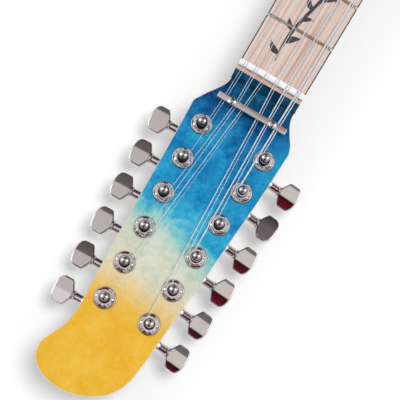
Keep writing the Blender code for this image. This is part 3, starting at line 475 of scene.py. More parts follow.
def grown(tree, base, part, inputs):
    """The mesh that a tree makes of a base mesh with its named inputs; the part goes."""
    host = stand("host", base)
    modifier = host.modifiers.new("nodes", "NODES")
    modifier.node_group = tree
    for item in tree.interface.items_tree:
        if item.in_out == "INPUT" and item.name in inputs:
            modifier[item.identifier] = inputs[item.name]
    mesh = evaluated_mesh(host)
    bpy.data.objects.remove(part, do_unlink=True)
    mesh.materials.clear()
    return mesh


def copies(name, form, places, finish_name):
    """Copies of a small form at (point, turn) places, as one piece."""
    part = stand("part", plain_mesh("part", form))
    points = bpy.data.meshes.new("places")
    points.from_pydata([tuple(point) for point, _ in places], [], [])
    turns = points.attributes.new("turn", "FLOAT_VECTOR", "POINT")
    for item, (_, turn) in zip(turns.data, places):
        item.vector = turn
    tree = bpy.data.node_groups.get("copies_of_a_part") or copies_tree("copies_of_a_part")
    mesh = grown(tree, points, part, {"Part": part, "Finish": finish(finish_name)})
    piece(name, mesh, finish_name)


# Materials

def hex_colour(code):
    """A linear colour from an sRGB hex code such as '1b5a86'."""
    channels = [int(code[i:i + 2], 16) / 255 for i in (0, 2, 4)]
    return (*(c / 12.92 if c <= 0.04045 else ((c + 0.055) / 1.055) ** 2.4 for c in channels), 1.0)


def begin_material(name, code, metallic=0.0, roughness=0.5, **sockets):
    """A Principled material with constants on its own sockets."""
    material = bpy.data.materials.new(name)
    material.use_nodes = True
    material.diffuse_color = hex_colour(code)
    shader = material.node_tree.nodes["Principled BSDF"]
    constants = {"Base Color": hex_colour(code), "Metallic": metallic, "Roughness": roughness,
                 **{key.replace("_", " "): value for key, value in sockets.items()}}
    for key, value in constants.items():
        shader.inputs[key].default_value = value
    return material, material.node_tree, shader.inputs


def stained_quilt(name, start_y, blue_reach, amber_y, blend, slant, cloud_size, wiped_at):
    """Quilted maple veneer, wiped with water stains that run into each other, under gloss.

    The figure is cloudy at the given size with finer curls at a quarter of it; the stain lies
    deeper in the curls, and the places where two stains meet are ragged. Round one point a cloth
    has wiped the stain thinner.
    """
    material, tree, sockets = begin_material(name, "2a86b8", roughness=0.3, Coat_Weight=0.06,
                                             Coat_Roughness=0.08, Specular_IOR_Level=0.12)
    coord = add(tree, "ShaderNodeTexCoord", output="Object")
    axes = add(tree, "ShaderNodeSeparateXYZ", (coord,)).node.outputs
    cloud = add(tree, NOISE, {"Vector": coord, "Scale": 1.0 / cloud_size, "Detail": 5.0,
                              "Roughness": 0.6, "Distortion": 0.7})
    curls = add(tree, NOISE, {"Vector": coord, "Scale": 4.5 / cloud_size, "Detail": 4.0,
                              "Roughness": 0.65, "Distortion": 0.6})
    flecks = add(tree, NOISE, {"Vector": coord, "Scale": 900.0, "Detail": 2.0})
    wander = add(tree, RANGE, (cloud, 0.25, 0.75, -blend, blend))
    ragged = add(tree, MATH, (axes["X"], slant, wander), operation="MULTIPLY_ADD")
    distance = add(tree, "ShaderNodeVectorMath", (coord, wiped_at), "Value",
                   operation="DISTANCE")
    thin = add(tree, RANGE, (distance, 0.030, 0.012), interpolation_type="SMOOTHSTEP")
    along = add(tree, MATH, (axes["Y"], ragged), operation="ADD")
    along = add(tree, MATH, (thin, 0.018, along), operation="MULTIPLY_ADD")
    blue_share = add(tree, RANGE, (along, start_y, start_y + blue_reach))
    blue = add(tree, RAMP, (blue_share,), stops=[
        (0.0, "155069"), (0.07, "06567f"), (0.15, "075487"), (0.215, "0a639c"),
        (0.285, "1f92c4"), (0.36, "1484b9"), (0.44, "279bcb"), (0.545, "36abd2"),
        (0.585, "83ccd2"), (0.62, "bfd9cd"), (0.68, "d8dcca"), (1.0, "e6dcb8")])
    amber_at = add(tree, MATH, (axes["Y"], wander), operation="ADD")
    amber_share = add(tree, RANGE, (amber_at, amber_y - 2.2 * blend, amber_y + 2.6 * blend),
                      interpolation_type="SMOOTHSTEP")
    amber = (*bpy.context.scene.guitar_colours.amber, 1.0)
    mixed = add(tree, MIX, {0: amber_share, 6: blue, 7: amber}, 2, data_type="RGBA")
    figure = add(tree, RANGE, (cloud, 0.3, 0.7, 1.36, 0.74))
    for noise, deepest, palest in ((curls, 1.22, 0.8), (flecks, 1.1, 0.9)):
        depth = add(tree, RANGE, (noise, 0.3, 0.7, deepest, palest))
        figure = add(tree, MATH, (figure, depth), operation="MULTIPLY")
    calmer = add(tree, MATH, (amber_share, 0.55), operation="MULTIPLY")
    figure = add(tree, MIX, {0: calmer, 2: figure, 3: 1.0})
    paler = add(tree, MATH, (thin, 0.7), operation="MULTIPLY")
    figure = add(tree, MIX, {0: paler, 2: figure, 3: 0.9})
    add(tree, "ShaderNodeGamma", (mixed, figure), into=sockets["Base Color"])
    return material


def wood(name, light, dark, streak):
    """Straight-grained wood along Y: growth lines 0.9 mm apart, pores and mineral streaks."""
    material, tree, sockets = begin_material(name, light)
    coord = add(tree, "ShaderNodeTexCoord", output="Object")
    drawn = [add(tree, "ShaderNodeMapping", {"Vector": coord, "Scale": scale})
             for scale in ((1500.0, 14.0, 1500.0), (420.0, 7.0, 420.0))]
    lines = add(tree, NOISE, {"Vector": drawn[0], "Scale": 1.0, "Detail": 5.0,
                              "Roughness": 0.65})
    bands = add(tree, NOISE, {"Vector": drawn[1], "Scale": 1.0, "Detail": 4.0,
                              "Distortion": 0.4})
    both = add(tree, MATH, (lines, bands), operation="MULTIPLY")
    share = add(tree, RANGE, (both, 0.20, 0.36, 0.0, streak))
    add(tree, MIX, {0: share, 6: hex_colour(light), 7: hex_colour(dark)}, 2,
        sockets["Base Color"], data_type="RGBA")
    add(tree, BUMP, {"Strength": 0.05, "Distance": 0.0002, "Height": lines},
        into=sockets["Normal"])
    return material


def plated(name, code, roughness, metallic=1.0, **constants):
    """A plated metal: the plate's roughness wanders a little where it was wiped."""
    material, tree, sockets = begin_material(name, code, metallic, roughness, **constants)
    wipes = add(tree, NOISE, {"Scale": 240.0, "Detail": 2.0})
    add(tree, RANGE, (wipes, 0.3, 0.7, roughness * 0.7, roughness * 1.4),
        into=sockets["Roughness"])
    return material


def clouded(name, code, scale, detail, stops, distortion=0.0, **constants):
    """A material whose colour wanders through the stops in clouds of the given scale."""
    material, tree, sockets = begin_material(name, code, **constants)
    noise = add(tree, NOISE, {"Scale": scale, "Detail": detail, "Distortion": distortion})
    add(tree, RAMP, (noise,), into=sockets["Base Color"], stops=stops)
    return material


def textured(name, code, scale, detail, bump, **constants):
    """An even colour on a finely uneven surface."""
    material, tree, sockets = begin_material(name, code, **constants)
    noise = add(tree, NOISE, {"Scale": scale, "Detail": detail})
    add(tree, BUMP, {**bump, "Height": noise}, into=sockets["Normal"])
    return material


def brushed(name, code, roughness, stops):
    """Metal brushed along X at about 0.2 mm, in fine streaks."""
    material, tree, sockets = begin_material(name, code, 1.0, roughness)
    coord = add(tree, "ShaderNodeTexCoord", output="Object")
    drawn = add(tree, "ShaderNodeMapping", {"Vector": coord, "Scale": (60.0, 5000.0, 5000.0)})
    streaks = add(tree, NOISE, {"Vector": drawn, "Scale": 1.0, "Detail": 3.0})
    add(tree, RAMP, (streaks,), into=sockets["Base Color"], stops=stops)
    add(tree, BUMP, {"Strength": 0.1, "Distance": 0.0001, "Height": streaks},
        into=sockets["Normal"])
    return material


def wound(name, code, roughness, pitch):
    """Wire wound round a core: ridges a pitch apart, square to the string."""
    material, tree, sockets = begin_material(name, code, 0.5, roughness)
    run = add(tree, "ShaderNodeAttribute", output="Fac", attribute_name="run")
    phase = add(tree, MATH, (run, 2 * math.pi / pitch), operation="MULTIPLY")
    ridge = add(tree, MATH, (phase,), operation="SINE")
    add(tree, BUMP, {"Strength": 0.4, "Distance": 0.0001, "Height": ridge},
        into=sockets["Normal"])
    return material


def make_materials():
    """All finishes of the guitar, by name."""
    colours = bpy.context.scene.guitar_colours
    return {
        "head_stain": stained_quilt("water_stained_quilt_maple", NUT_Y + 0.005, 0.195,
                                    NUT_Y + 0.165, 0.007, 0.19, 0.022,
                                    (-0.028, NUT_Y + 0.037, FACE)),
        "body_stain": stained_quilt("water_stained_quilt_maple_top", -0.10, 0.42, 0.225,
                                    0.016, 0.12, 0.045, (0.10, -0.02, BODY_TOP)),
        # Polyester lacquer, sprayed and buffed: black, a clear reflection, faint orange peel
        "lacquer": textured("black_gloss_lacquer", "0b0b0d", 320.0, 1.0, {"Strength": 0.03},
                            roughness=0.18, Coat_Weight=0.6, Coat_Roughness=0.05,
                            Base_Color=(*colours.lacquer, 1.0)),
        # Maple scraped back to bare wood along the edge: pale, slightly pink, satin
        "edge_maple": wood("scraped_maple_edge", "efdfd2", "d8bda6", 0.35),
        # Maple behind the nut, sealed without stain: warmer, its end grain drinking lacquer
        "ledge_maple": wood("sealed_maple_ledge", "d1b2a4", "bf9f90", 0.5),
        # Quarter-sawn maple fingerboard: straight pinkish grain with brown mineral streaks
        "board_maple": wood("quarter_sawn_maple", "e6d0c5", "b9958a", 0.9),
        # Black fibre strip in the fingerboard's edges: matt, with short pressed fibres
        "border": clouded("black_fibre_binding", "151313", 900.0, 3.0,
                          [(0.35, "100e0e"), (0.7, "221f1e")], roughness=0.45),
        # Nickel silver fret wire: yellowish white metal, polished, with fine filing lines
        "fret_wire": plated("nickel_silver_wire", "c2bbac", 0.3, 0.85),
        # Dark mother of pearl: purple-brown shell with cloudy lighter layers
        "shell": clouded("dark_shell_inlay", "4d3f48", 420.0, 3.0,
                         [(0.3, "2c2228"), (0.5, "514149"), (0.62, "44505a"), (0.75, "7d6a70")],
                         2.0, roughness=0.3, Coat_Weight=0.2),
        # Bleached bone, sanded: white with the faintest warm clouds
        "bone": clouded("bleached_bone", "fafafa", 260.0, 3.0,
                        [(0.35, "f4f3f3"), (0.65, "fdfdfe")], roughness=0.38,
                        Specular_IOR_Level=0.2),
        # Nickel plate, brushed: warm grey with fine streaks
        "brushed_nickel": brushed("brushed_nickel_plate", "c4b5aa", 0.34,
                                  [(0.3, "e6d9d5"), (0.7, "fdf5f2")]),
        # Chromium plate, buffed: a clear mirror, a little softer on the posts
        "chrome": plated("chromium_plate", "d2cccb", 0.05, Base_Color=(*colours.plating, 1.0)),
        "post_chrome": plated("buffed_chromium_plate", "cbc4c6", 0.06),
        # Nickel plate, tumbled: warmer than chromium, with a soft satin sheen
        "nickel": plated("satin_nickel_plate", "bdb4aa", 0.25),
        # Chromium made smoke dark: painted shade on the lower part of each post's ball, under its
        # bright cap
        "black_chrome": plated("chromium_darkened_as_painted_shade", "34302f", 0.12),
        # Near-black steel, dull sheen, greyer in spots: painted shade on each post below its ball,
        # and as dark rings under the washers and in the nuts' bores
        "black_steel": clouded("black_steel_as_painted_shade", "141213", 500.0, 3.0,
                               [(0.4, "0e0c0d"), (0.75, "2b2727")], roughness=0.35),
        # Drawn music wire: bright grey, smooth, a little brighter where fingers cleaned it
        "plain_wire": plated("drawn_music_wire", "dfe8f0", 0.3, 0.6),
        # Nickel wrap wire on a hexagonal core: bright, with fine ridges
        "wrap_wire": wound("nickel_wrap_wire", "eef4fb", 0.36, 0.35 * MM),
        # Moulded ABS: near black, fine moulded texture
        "abs": textured("moulded_black_abs", "121213", 2200.0, 2.0,
                        {"Strength": 0.08, "Distance": 0.0002}, roughness=0.36),
        # Dull black with a little dust: painted shade in the screws' cross recesses and at the
        # bottom of the jack's bore, and the knobs' real black marks
        "dark": clouded("recess_shade_and_mark_black", "050505", 1500.0, 2.0,
                        [(0.5, "050505"), (0.8, "1a1918")], roughness=0.9),
    }


MATERIALS = {}


def finish(name):
    """A material by its short name; the first call makes them all."""
    if not MATERIALS:
        MATERIALS.update(make_materials())
    return MATERIALS[name]


# Pieces

def string_x(index, pitches):
    """A string's distance from the centre line, for (course, pair) pitches."""
    course, member = divmod(index, 2)
    return ((COURSES - 1) / 2 - course) * pitches[0] + (0.5 - member) * pitches[1]


def string_level(index, pitches, over_frets):
    """The level of a string's centre line at a height over the frets."""
    x = string_x(index, pitches)
    return BOARD_TOP + FRET_RISE + over_frets + GAUGES[index] / 2 - crown(x)


def nut_level(index):
    """The level of a string's centre line on the nut."""
    return string_level(index, NUT_PITCHES, 0.35 * MM)


def tuner_frames():
    """Number, side, and the matrices of the post and of the key's axis, with X outboard."""
    rows = []
    for number in range(1, STRINGS + 1):
        post, key = (JOINTS[f"{kind}_{number:02d}_turn"] for kind in ("post", "key"))
        outboard = Vector(key["axis"]).normalized()
        turn = Matrix((outboard, UP.cross(outboard), UP)).transposed().to_4x4()
        at_post, at_key = (Matrix.Translation(Vector(joint["pos_m"])) @ turn
                           for joint in (post, key))
        rows.append((number, 1 if outboard.x > 0 else -1, at_post, at_key))
    return rows


def neck_section(y):
    """Round the neck: the flat top from the treble side to the bass side, then the back."""
    past_nut = y - NUT_Y
    half = board_half(min(y, NUT_Y))
    from_heel = smooth_step((y - HEEL_Y) / HEEL_BLEND)
    rounded = from_heel * (1 - smooth_step((past_nut + 6 * MM) / (17 * MM)))
    heel = BOARD_TOP - 25.4 * MM
    taper = clamped((y - HEEL_Y - HEEL_BLEND) / (NUT_Y - HEEL_Y - HEEL_BLEND))
    back = BOARD_TOP - (24 - 3 * taper) * MM
    bottom = heel + (back - heel) * from_heel
    bottom += (HEAD_BACK - back) * smooth_step((past_nut + 15 * MM) / (26 * MM))
    ledge = BOARD_TOP - LEDGE_DROP
    if past_nut <= LEDGE_START:
        top = BOARD_UNDER - GAP / 2
    else:
        top = ledge + (FACE - ledge) * clamped((past_nut - LEDGE_END) / (SLOPE_END - LEDGE_END))
    shoulder = min(top, BOARD_UNDER) - 0.6 * MM
    points = [(half * (1 - 2 * i / 8), y, top) for i in range(9)]
    steps = 28
    for i in range(steps + 1):
        angle = math.pi * i / steps
        across = -math.cos(angle)
        square_x = min(max(across * 1.3, -1), 1)
        if i in (0, steps):
            round_z = square_z = shoulder
        else:
            round_z = shoulder - (shoulder - bottom) * math.sin(angle) ** 0.8
            square_z = bottom + 1.2 * MM * max(abs(across * 1.3) - 0.9, 0) / 0.4
        points.append((half * (square_x + (across - square_x) * rounded), y,
                       square_z + (round_z - square_z) * rounded))
    return points


def build_neck():
    """Neck, ledge, slope and headstock as one piece."""
    bm = bmesh.new()
    start = HEEL_Y + HEEL_BLEND
    stations = [BOARD_LOW.y + 0.4 * MM, HEEL_Y]
    stations += [HEEL_Y + HEEL_BLEND * i / 14 for i in range(1, 15)]
    stations += [start + (NUT_Y - 16 * MM - start) * i / 12 for i in range(1, 13)]
    stations += [NUT_Y + s * MM for s in range(-14, 5, 2)]
    stations += [NUT_Y + s for s in (LEDGE_START, LEDGE_START + 0.02 * MM, LEDGE_END,
                                     LEDGE_END + 0.3 * MM, 8 * MM, 9.5 * MM, SLOPE_END)]
    skin(bm, [neck_section(y) for y in stations], slot_of=lambda band, column: int(column > 7))
    for face in bm.faces:
        past_nut = face.calc_center_median().y - NUT_Y
        if face.material_index == 0 and past_nut < LEDGE_END:
            face.material_index = 3 if past_nut > LEDGE_START - MM else 1
    outline = [Vector((p.x * MM, NUT_Y + p.y * MM)) for p in curve_through(HEAD_OUTLINE, 6)]
    edge = bpy.context.scene.guitar_sizes.edge_line
    plate(bm, outline, [(1.0 * MM, HEAD_BACK, 1), (0.3 * MM, HEAD_BACK + 0.3 * MM, 1),
                        (0, HEAD_BACK + 1.0 * MM, 1), (0, FACE - 0.3 * MM - edge, 1),
                        (0, FACE - 0.35 * MM, 2), (0.12 * MM, FACE - 0.1 * MM, 2),
                        (0.4 * MM, FACE, 2), (0.41 * MM, FACE, 0)])
    piece("neck_and_headstock", bm, "head_stain lacquer edge_maple ledge_maple",
          ["neck"])


def build_fingerboard():
    """Arched fingerboard with black border lines, and its frets."""
    sizes = bpy.context.scene.guitar_sizes
    bm = bmesh.new()
    low, high = BOARD_LOW.y, BOARD_HIGH.y
    rings = []
    for i in range(61):
        y = low + (high - low) * i / 60
        half = board_half(y)
        inner = half - sizes.board_border
        corner = BOARD_TOP - crown(half) - 0.3 * MM
        across = [half - 0.25 * MM, *(inner * (1 - j / 8) for j in range(17)),
                  -half + 0.25 * MM]
        rings.append([(half, y, BOARD_UNDER), (half, y, corner)]
                     + [(x, y, BOARD_TOP - crown(x)) for x in across]
                     + [(-half, y, corner), (-half, y, BOARD_UNDER)])
    skin(bm, rings, slot_of=lambda band, column: int(not 3 <= column <= 18))
    piece("fingerboard", bm, "board_maple border", ["fretboard"])

    bm = bmesh.new()
    side, foot = sizes.fret_width / 2, -0.1 * MM
    angles = [math.pi * i / 10 for i in range(11)]
    profile = [(-side, foot), *((side * -math.cos(a), FRET_RISE * math.sin(a) ** 0.8)
                                for a in angles), (side, foot)]
    rings = []
    for i in range(33):
        x = -1 + 2 * i / 32
        end = 0.35 if abs(x) == 1 else 1.0
        rings.append([(x * 0.995, y, z * end - crown(x * 27 * MM)) for y, z in profile])
    skin(bm, rings)
    wire = stand("wire", plain_mesh("wire", bm))
    mesh = grown(frets_tree("frets_by_twelfth_root"), bpy.data.meshes.new("seed"), wire, {
        "Scale Length": NUT_Y, "Level": BOARD_TOP, "Frets": sizes.frets, "Wire": wire,
        "Finish": finish("fret_wire")})
    piece("frets", mesh, "fret_wire", smooth=50)


def ribbon(bm, pairs):
    """A strip between pairs of points, on the arched fingerboard."""
    rows = [[bm.verts.new((p.x, p.y, BOARD_TOP - crown(p.x) + 0.03 * MM)) for p in pair]
            for pair in pairs]
    for lower, upper in zip(rows, rows[1:]):
        bm.faces.new((lower[0], upper[0], upper[1], lower[1]))


def leaf(bm, root, direction, length):
    """A pointed leaf, bowed to one side."""
    across = Vector((-direction.y, direction.x))
    pairs = []
    for i in range(9):
        t = i / 8
        width = length * 0.21 * math.sin(math.pi * t ** 0.75) * (1 - 0.25 * t)
        centre = root + direction * length * t + across * length * 0.10 * math.sin(math.pi * t)
        pairs.append((centre - across * width, centre + across * width))
    ribbon(bm, pairs)


def vine_x(y):
    """Where the vine's stem runs along the fingerboard."""
    return 5.2 * MM * math.sin((NUT_Y - y) / (21 * MM) + 0.5)


def build_inlay():
    """A plain vine of shell, inlaid along the fingerboard: a waving stem with leaves."""
    sizes = bpy.context.scene.guitar_sizes
    bm = bmesh.new()
    start, end = NUT_Y - 10 * MM, BOARD_LOW.y + 12 * MM
    count = 260
    places = [start + (end - start) * i / count for i in range(count + 1)]
    path = [Vector((vine_x(y), y)) for y in places]
    pairs = []
    for i, point in enumerate(path):
        along = (path[min(i + 1, count)] - path[max(i - 1, 0)]).normalized()
        half = sizes.inlay_width / 2 * min(1, 0.25 + i / 14, 0.25 + (count - i) / 14)
        across = Vector((-along.y, along.x)) * half
        pairs.append((point + across, point - across))
    ribbon(bm, pairs)
    y, side = start - 5 * MM, 1
    while y > end + 8 * MM:
        slope = (vine_x(y - MM) - vine_x(y + MM)) / (2 * MM)
        direction = Matrix.Rotation(side * math.radians(48), 2) @ Vector((slope, -1)).normalized()
        length = sizes.leaf_length * (0.85 + 0.15 * math.sin(y / (7 * MM)))
        leaf(bm, Vector((vine_x(y), y)), direction, length)
        side = -side
        y -= 9.5 * MM
    bmesh.ops.recalc_face_normals(bm, faces=bm.faces[:])
    for face in bm.faces:
        if face.normal.z < 0:
            face.normal_flip()
    for item in bmesh.ops.extrude_face_region(bm, geom=bm.faces[:])["geom"]:
        if isinstance(item, bmesh.types.BMVert):
            item.co.z -= 0.4 * MM
    piece("vine_inlay", bm, "shell")


def build_nut():
    """Bone nut, rounded over its back, with a slot for each string."""
    bm = bmesh.new()
    top, depth = NUT_HIGH.z, NUT_HIGH.y - NUT_LOW.y
    profile = [(0, BOARD_UNDER), (0, -0.35 * MM), (0.12 * MM, -0.1 * MM), (0.4 * MM, 0),
               (depth * 0.55, -0.02 * MM), (depth * 0.85, -0.35 * MM), (depth, -1.0 * MM),
               (depth, BOARD_UNDER)]
    inner = [NUT_HALF * (1 - i / 12) for i in range(1, 24)]
    rings = []
    for x in (NUT_HALF, NUT_HALF - 0.25 * MM, *inner, -NUT_HALF + 0.25 * MM, -NUT_HALF):
        drop = crown(x) + (0.3 * MM if abs(x) == NUT_HALF else 0)
        rings.append([(x, NUT_Y + y, z if z == BOARD_UNDER else top + z - drop)
                      for y, z in profile])
    skin(bm, rings)
    cutters = bmesh.new()
    for index in range(STRINGS):
        x = string_x(index, NUT_PITCHES)
        room = GAUGES[index] / 2 + 0.1 * MM
        floor = nut_level(index) - GAUGES[index] / 2 - 0.04 * MM
        ring = arc((x, floor + room), room, 180, 360, 8)
        ring += [(x + room, top + 2 * MM), (x - room, top + 2 * MM)]
        skin(cutters, [[(px, NUT_Y + y, pz + rise) for px, pz in ring]
                       for y, rise in ((-1 * MM, 0.06 * MM), (depth + 1 * MM, -0.62 * MM))])
    piece("string_nut", cut_away(bm, [cutters]), "bone", ["nut"])


def build_string_bar():
    """Brushed bar over the strings with two domed screws on round spacers."""
    y, high = NUT_Y + BAR_CENTRE, BAR_UNDER + 2 * MM
    bar, screws, crosses = bmesh.new(), bmesh.new(), bmesh.new()
    rounded_block(bar, rounded_outline(25.3 * MM, 2.05 * MM, 0.35 * MM, 3, (0, y)),
                  BAR_UNDER, high, 0.3 * MM)
    dome = [(2.75 * MM * math.cos(a), high + 0.15 * MM + 1.35 * MM * math.sin(a))
            for a in [math.pi / 2 * i / 10 for i in range(10)]]
    for x in BAR_SCREWS:
        place = Matrix.Translation((x, y, 0))
        lathe(screws, [(1.9 * MM, FACE + 0.05 * MM), (1.9 * MM, BAR_UNDER)], place, 32)
        lathe(screws, [(2.75 * MM, high - 0.2 * MM), *dome, (0, high + 1.5 * MM)], place, 40)
        # Each screw head's cross recess is a dark plate: painted shade
        for turn in (0.4, 0.4 + math.pi / 2):
            outline = [Matrix.Rotation(turn, 2) @ p + Vector((x, y))
                       for p in rounded_outline(1.5 * MM, 0.28 * MM, 0.1 * MM, 2)]
            plate(crosses, outline, [(0, high + 1.0 * MM), (0, high + 1.42 * MM)])
    piece("string_bar_plate", bar, "brushed_nickel", ["string_bar"])
    piece("bar_screws", screws, "chrome")
    piece("bar_screw_crosses", crosses, "dark")


def build_posts():
    """Ball-topped posts, one on each geared post body."""
    ball, middle = 3.3 * MM, 8.4 * MM
    start = math.acos(POST_WAIST / ball)
    profile = [(0, -20 * MM), (3.0 * MM, -20 * MM), (3.0 * MM, POST_SHOULDER - 0.3 * MM),
               (2.8 * MM, POST_SHOULDER), (POST_WAIST, POST_SHOULDER + 0.3 * MM),
               (POST_WAIST, middle - 2.4 * MM)]
    profile += [(ball * math.cos(a), middle + ball * math.sin(a))
                for a in [-start + (math.pi / 2 + start) * i / 22 for i in range(22)]]
    profile.append((0, middle + ball - 0.02 * MM))
    for number, _, at_post, _ in tuner_frames():
        bm = bmesh.new()
        lathe(bm, profile, at_post)
        # Below the bright cap each post is darkened as painted shade: near-black steel low down,
        # dark chrome on the ball's lower part
        for face in bm.faces:
            level = face.calc_center_median().z - FACE
            if level < POST_NECK_TOP - 1.9 * MM:
                face.material_index = 1
            elif level < POST_CAP_LOW:
                face.material_index = 2
        name = f"post_{number:02d}"
        piece(name, bm, "post_chrome black_steel black_chrome",
              ["tuner_" + name], name)


def hex_nut(bm, matrix, flats, low, high, bore):
    """A six-sided nut with its corners turned off, round a bore."""
    outer = flats / 2 / math.cos(math.pi / 6)
    rings = []
    for cut, height in ((None, low), (0, low), (0, high - 0.5 * MM), (0.45 * MM, high),
                        (None, high)):
        ring = []
        for a in [2 * math.pi * i / 48 for i in range(48)]:
            sector = (a + math.pi / 6) % (math.pi / 3) - math.pi / 6
            edge = flats / 2 / math.cos(sector)
            size = bore if cut is None else min(edge, outer - 0.1 * MM - cut) - cut
            ring.append((size * math.cos(a), size * math.sin(a), height))
        rings.append(ring)
    skin(bm, rings, matrix, loop=True)


def case_form(bm, matrix, side):
    """Die-cast gear case with a rounded back."""
    outline = rounded_outline(9.6 * MM, 9.15 * MM, 3.4 * MM, 6, (1.4 * MM, 2.5 * MM))
    outline = [Vector((p.x, p.y * side)) for p in outline][::side]
    top = -13.0 * MM
    levels = [(inward, top - 9.8 * MM + rise) for inward, rise in rounding(2.4 * MM, 5)]
    plate(bm, outline, levels + [(0, top - 0.5 * MM), (0.3 * MM, top)], matrix=matrix)


def build_housings():
    """Cases, bushings, washers and hex nuts of the tuners, with near-black rings under the washers
    and in the bores as painted shade.
    """
    washers, nuts, shade_rings, cases = (bmesh.new() for _ in range(4))
    washer = metres([(4.6, 0.35), (6.8, 0.35), *arc((6.6, 0.78), 0.36, -30, 115, 8),
                     (6.1, 1.03), (4.6, 0.98)])
    # The ring under each washer and the bushing in each nut's bore are near black: painted shade, a
    # dark outline round the washer and a dark ring round the ball
    base = metres([(4.6, 0.02), (7.05, 0.02), (7.2, 0.15), (7.1, 0.4), (4.6, 0.4)])
    bushing = metres([(3.3, 0), (3.8, 0), (3.8, 3.05), (3.3, 3.05)])
    sleeve = metres([(2.1, 9), (4.2, 9), (4.2, 11.2), (3.4, 12.6), (3.1, 13.2), (3.1, 18.4),
                     (2.9, 18.75), (2.1, 18.75)])
    places = []
    for number, side, at_post, at_key in tuner_frames():
        lathe(washers, washer, at_post, 56, loop=True)
        lathe(shade_rings, base, at_post, 56, loop=True)
        lathe(shade_rings, bushing, at_post, 56, loop=True)
        turn = Matrix.Rotation(math.radians(7 * number), 4, "Z")
        hex_nut(nuts, at_post @ turn, 10.3 * MM, 1.0 * MM, 3.3 * MM, 3.75 * MM)
        case_form(cases, at_post, side)
        lathe(cases, sleeve, at_key @ Matrix.Rotation(math.pi / 2, 4, "Y"), 56, loop=True)
        places.append((at_post @ Vector((-5.4 * MM, 8.6 * side * MM, -22.6 * MM)),
                       (math.pi, 0, 0)))
    piece("tuner_washers", washers, "chrome",
          [f"tuner_housing_{number:02d}" for number in range(1, STRINGS + 1)])
    piece("tuner_nuts", nuts, "chrome", smooth=25)
    piece("tuner_collars", shade_rings, "black_steel")
    piece("tuner_cases", cases, "chrome", smooth=20)
    copies("case_screws", turned([(1.9, 0), (1.9, 0.5), (1.4, 1.0), (0, 1.15)], 24), places,
           "nickel")


def edge_at(points, y):
    """The point at y on a key's edge, which is given by (y, x) points in millimetres."""
    x = points[-1][1]
    for (y0, x0), (y1, x1) in zip(points, points[1:]):
        if abs(y) <= y1 + 1e-9:
            x = x0 + (x1 - x0) * (abs(y) - y0) / (y1 - y0)
            break
    return Vector((x * MM, y * MM))


def key_outline():
    """Paired points of a key's inboard and outboard edges, from one broad end to the other."""
    inboard = [(0, 20.0), (3.0, 20.0), (8.4, 22.9), (9.2, 24.0)]
    outboard = [(0, 33.6), (3.2, 33.5), (5.6, 33.0), (7.3, 32.2), (8.6, 31.0), (9.2, 29.6)]
    levels = [9.2 * math.sin(math.pi / 2 * i / 10) for i in range(-10, 11)]
    return [(edge_at(inboard, y), edge_at(outboard, y)) for y in levels]


def key_form(bm, matrix, angle):
    """A key's button with bowed faces and a bevelled rim, its collar and its shaft."""
    crown_radius = bpy.context.scene.guitar_sizes.key_crown
    pairs = key_outline()
    columns, rows = 6, len(pairs)
    low = [pairs[0][0].lerp(pairs[0][1], i / columns) for i in range(1, columns)]
    high = [pairs[-1][1].lerp(pairs[-1][0], i / columns) for i in range(1, columns)]
    outline = [b for a, b in pairs] + high + [a for a, b in reversed(pairs)] + low
    far = 2 * rows + columns - 2
    turn = matrix @ Matrix.Rotation(angle, 4, "X")
    top, edge = 3.1 * MM, 1.4 * MM

    def corner(p, level):
        """A corner of the button, at a level that falls away across the button's width."""
        bow = 1 - p.y * p.y / (2 * crown_radius * top)
        return bm.verts.new(turn @ Vector((p.x, p.y, level * bow)))

    walls = []
    for sign in (1, -1):
        rings = []
        for a in map(math.radians, (90, 76, 62, 48, 34, 20)):
            flat = inset(outline, edge * (1 - math.sin(a)))
            level = top - edge * (math.cos(math.radians(20)) - math.cos(a))
            rings.append([corner(p, sign * level) for p in flat])
        for lower, upper in zip(rings, rings[1:]):
            join(bm, lower, upper)
        walls.append(rings[0])
        rim = rings[-1]
        grid = [[*rim[far:], rim[0]]]
        for k in range(1, rows - 1):
            left, right = flat[far - k], flat[k]
            grid.append([rim[far - k], *(corner(left.lerp(right, i / columns), sign * top)
                                         for i in range(1, columns)), rim[k]])
        grid.append(rim[rows - 1:rows + columns][::-1])
        for below, above in zip(grid, grid[1:]):
            for i in range(columns):
                bm.faces.new((below[i], below[i + 1], above[i + 1], above[i]))
    join(bm, walls[1], walls[0])
    lathe(bm, metres([(1.75, 0), (1.75, 18.95), (3.5, 18.95), (3.75, 19.2), (3.75, 19.7),
                      (3.3, 20.0), (2.6, 20.3), (2.4, 22.5)]),
          matrix @ Matrix.Rotation(math.pi / 2, 4, "Y"), 40)


def join(bm, lower, upper):
    """A band of faces between two rings of corners."""
    for i in range(len(lower)):
        j = (i + 1) % len(lower)
        bm.faces.new((lower[i], lower[j], upper[j], upper[i]))


def build_keys():
    """Six-sided keys, one on each key body."""
    for number, side, _, at_key in tuner_frames():
        bm = bmesh.new()
        key_form(bm, at_key, side * KEY_ANGLES[number - 1])
        piece(f"key_{number:02d}", bm, "chrome", [f"tuner_key_{number:02d}"],
              f"key_{number:02d}", 17)


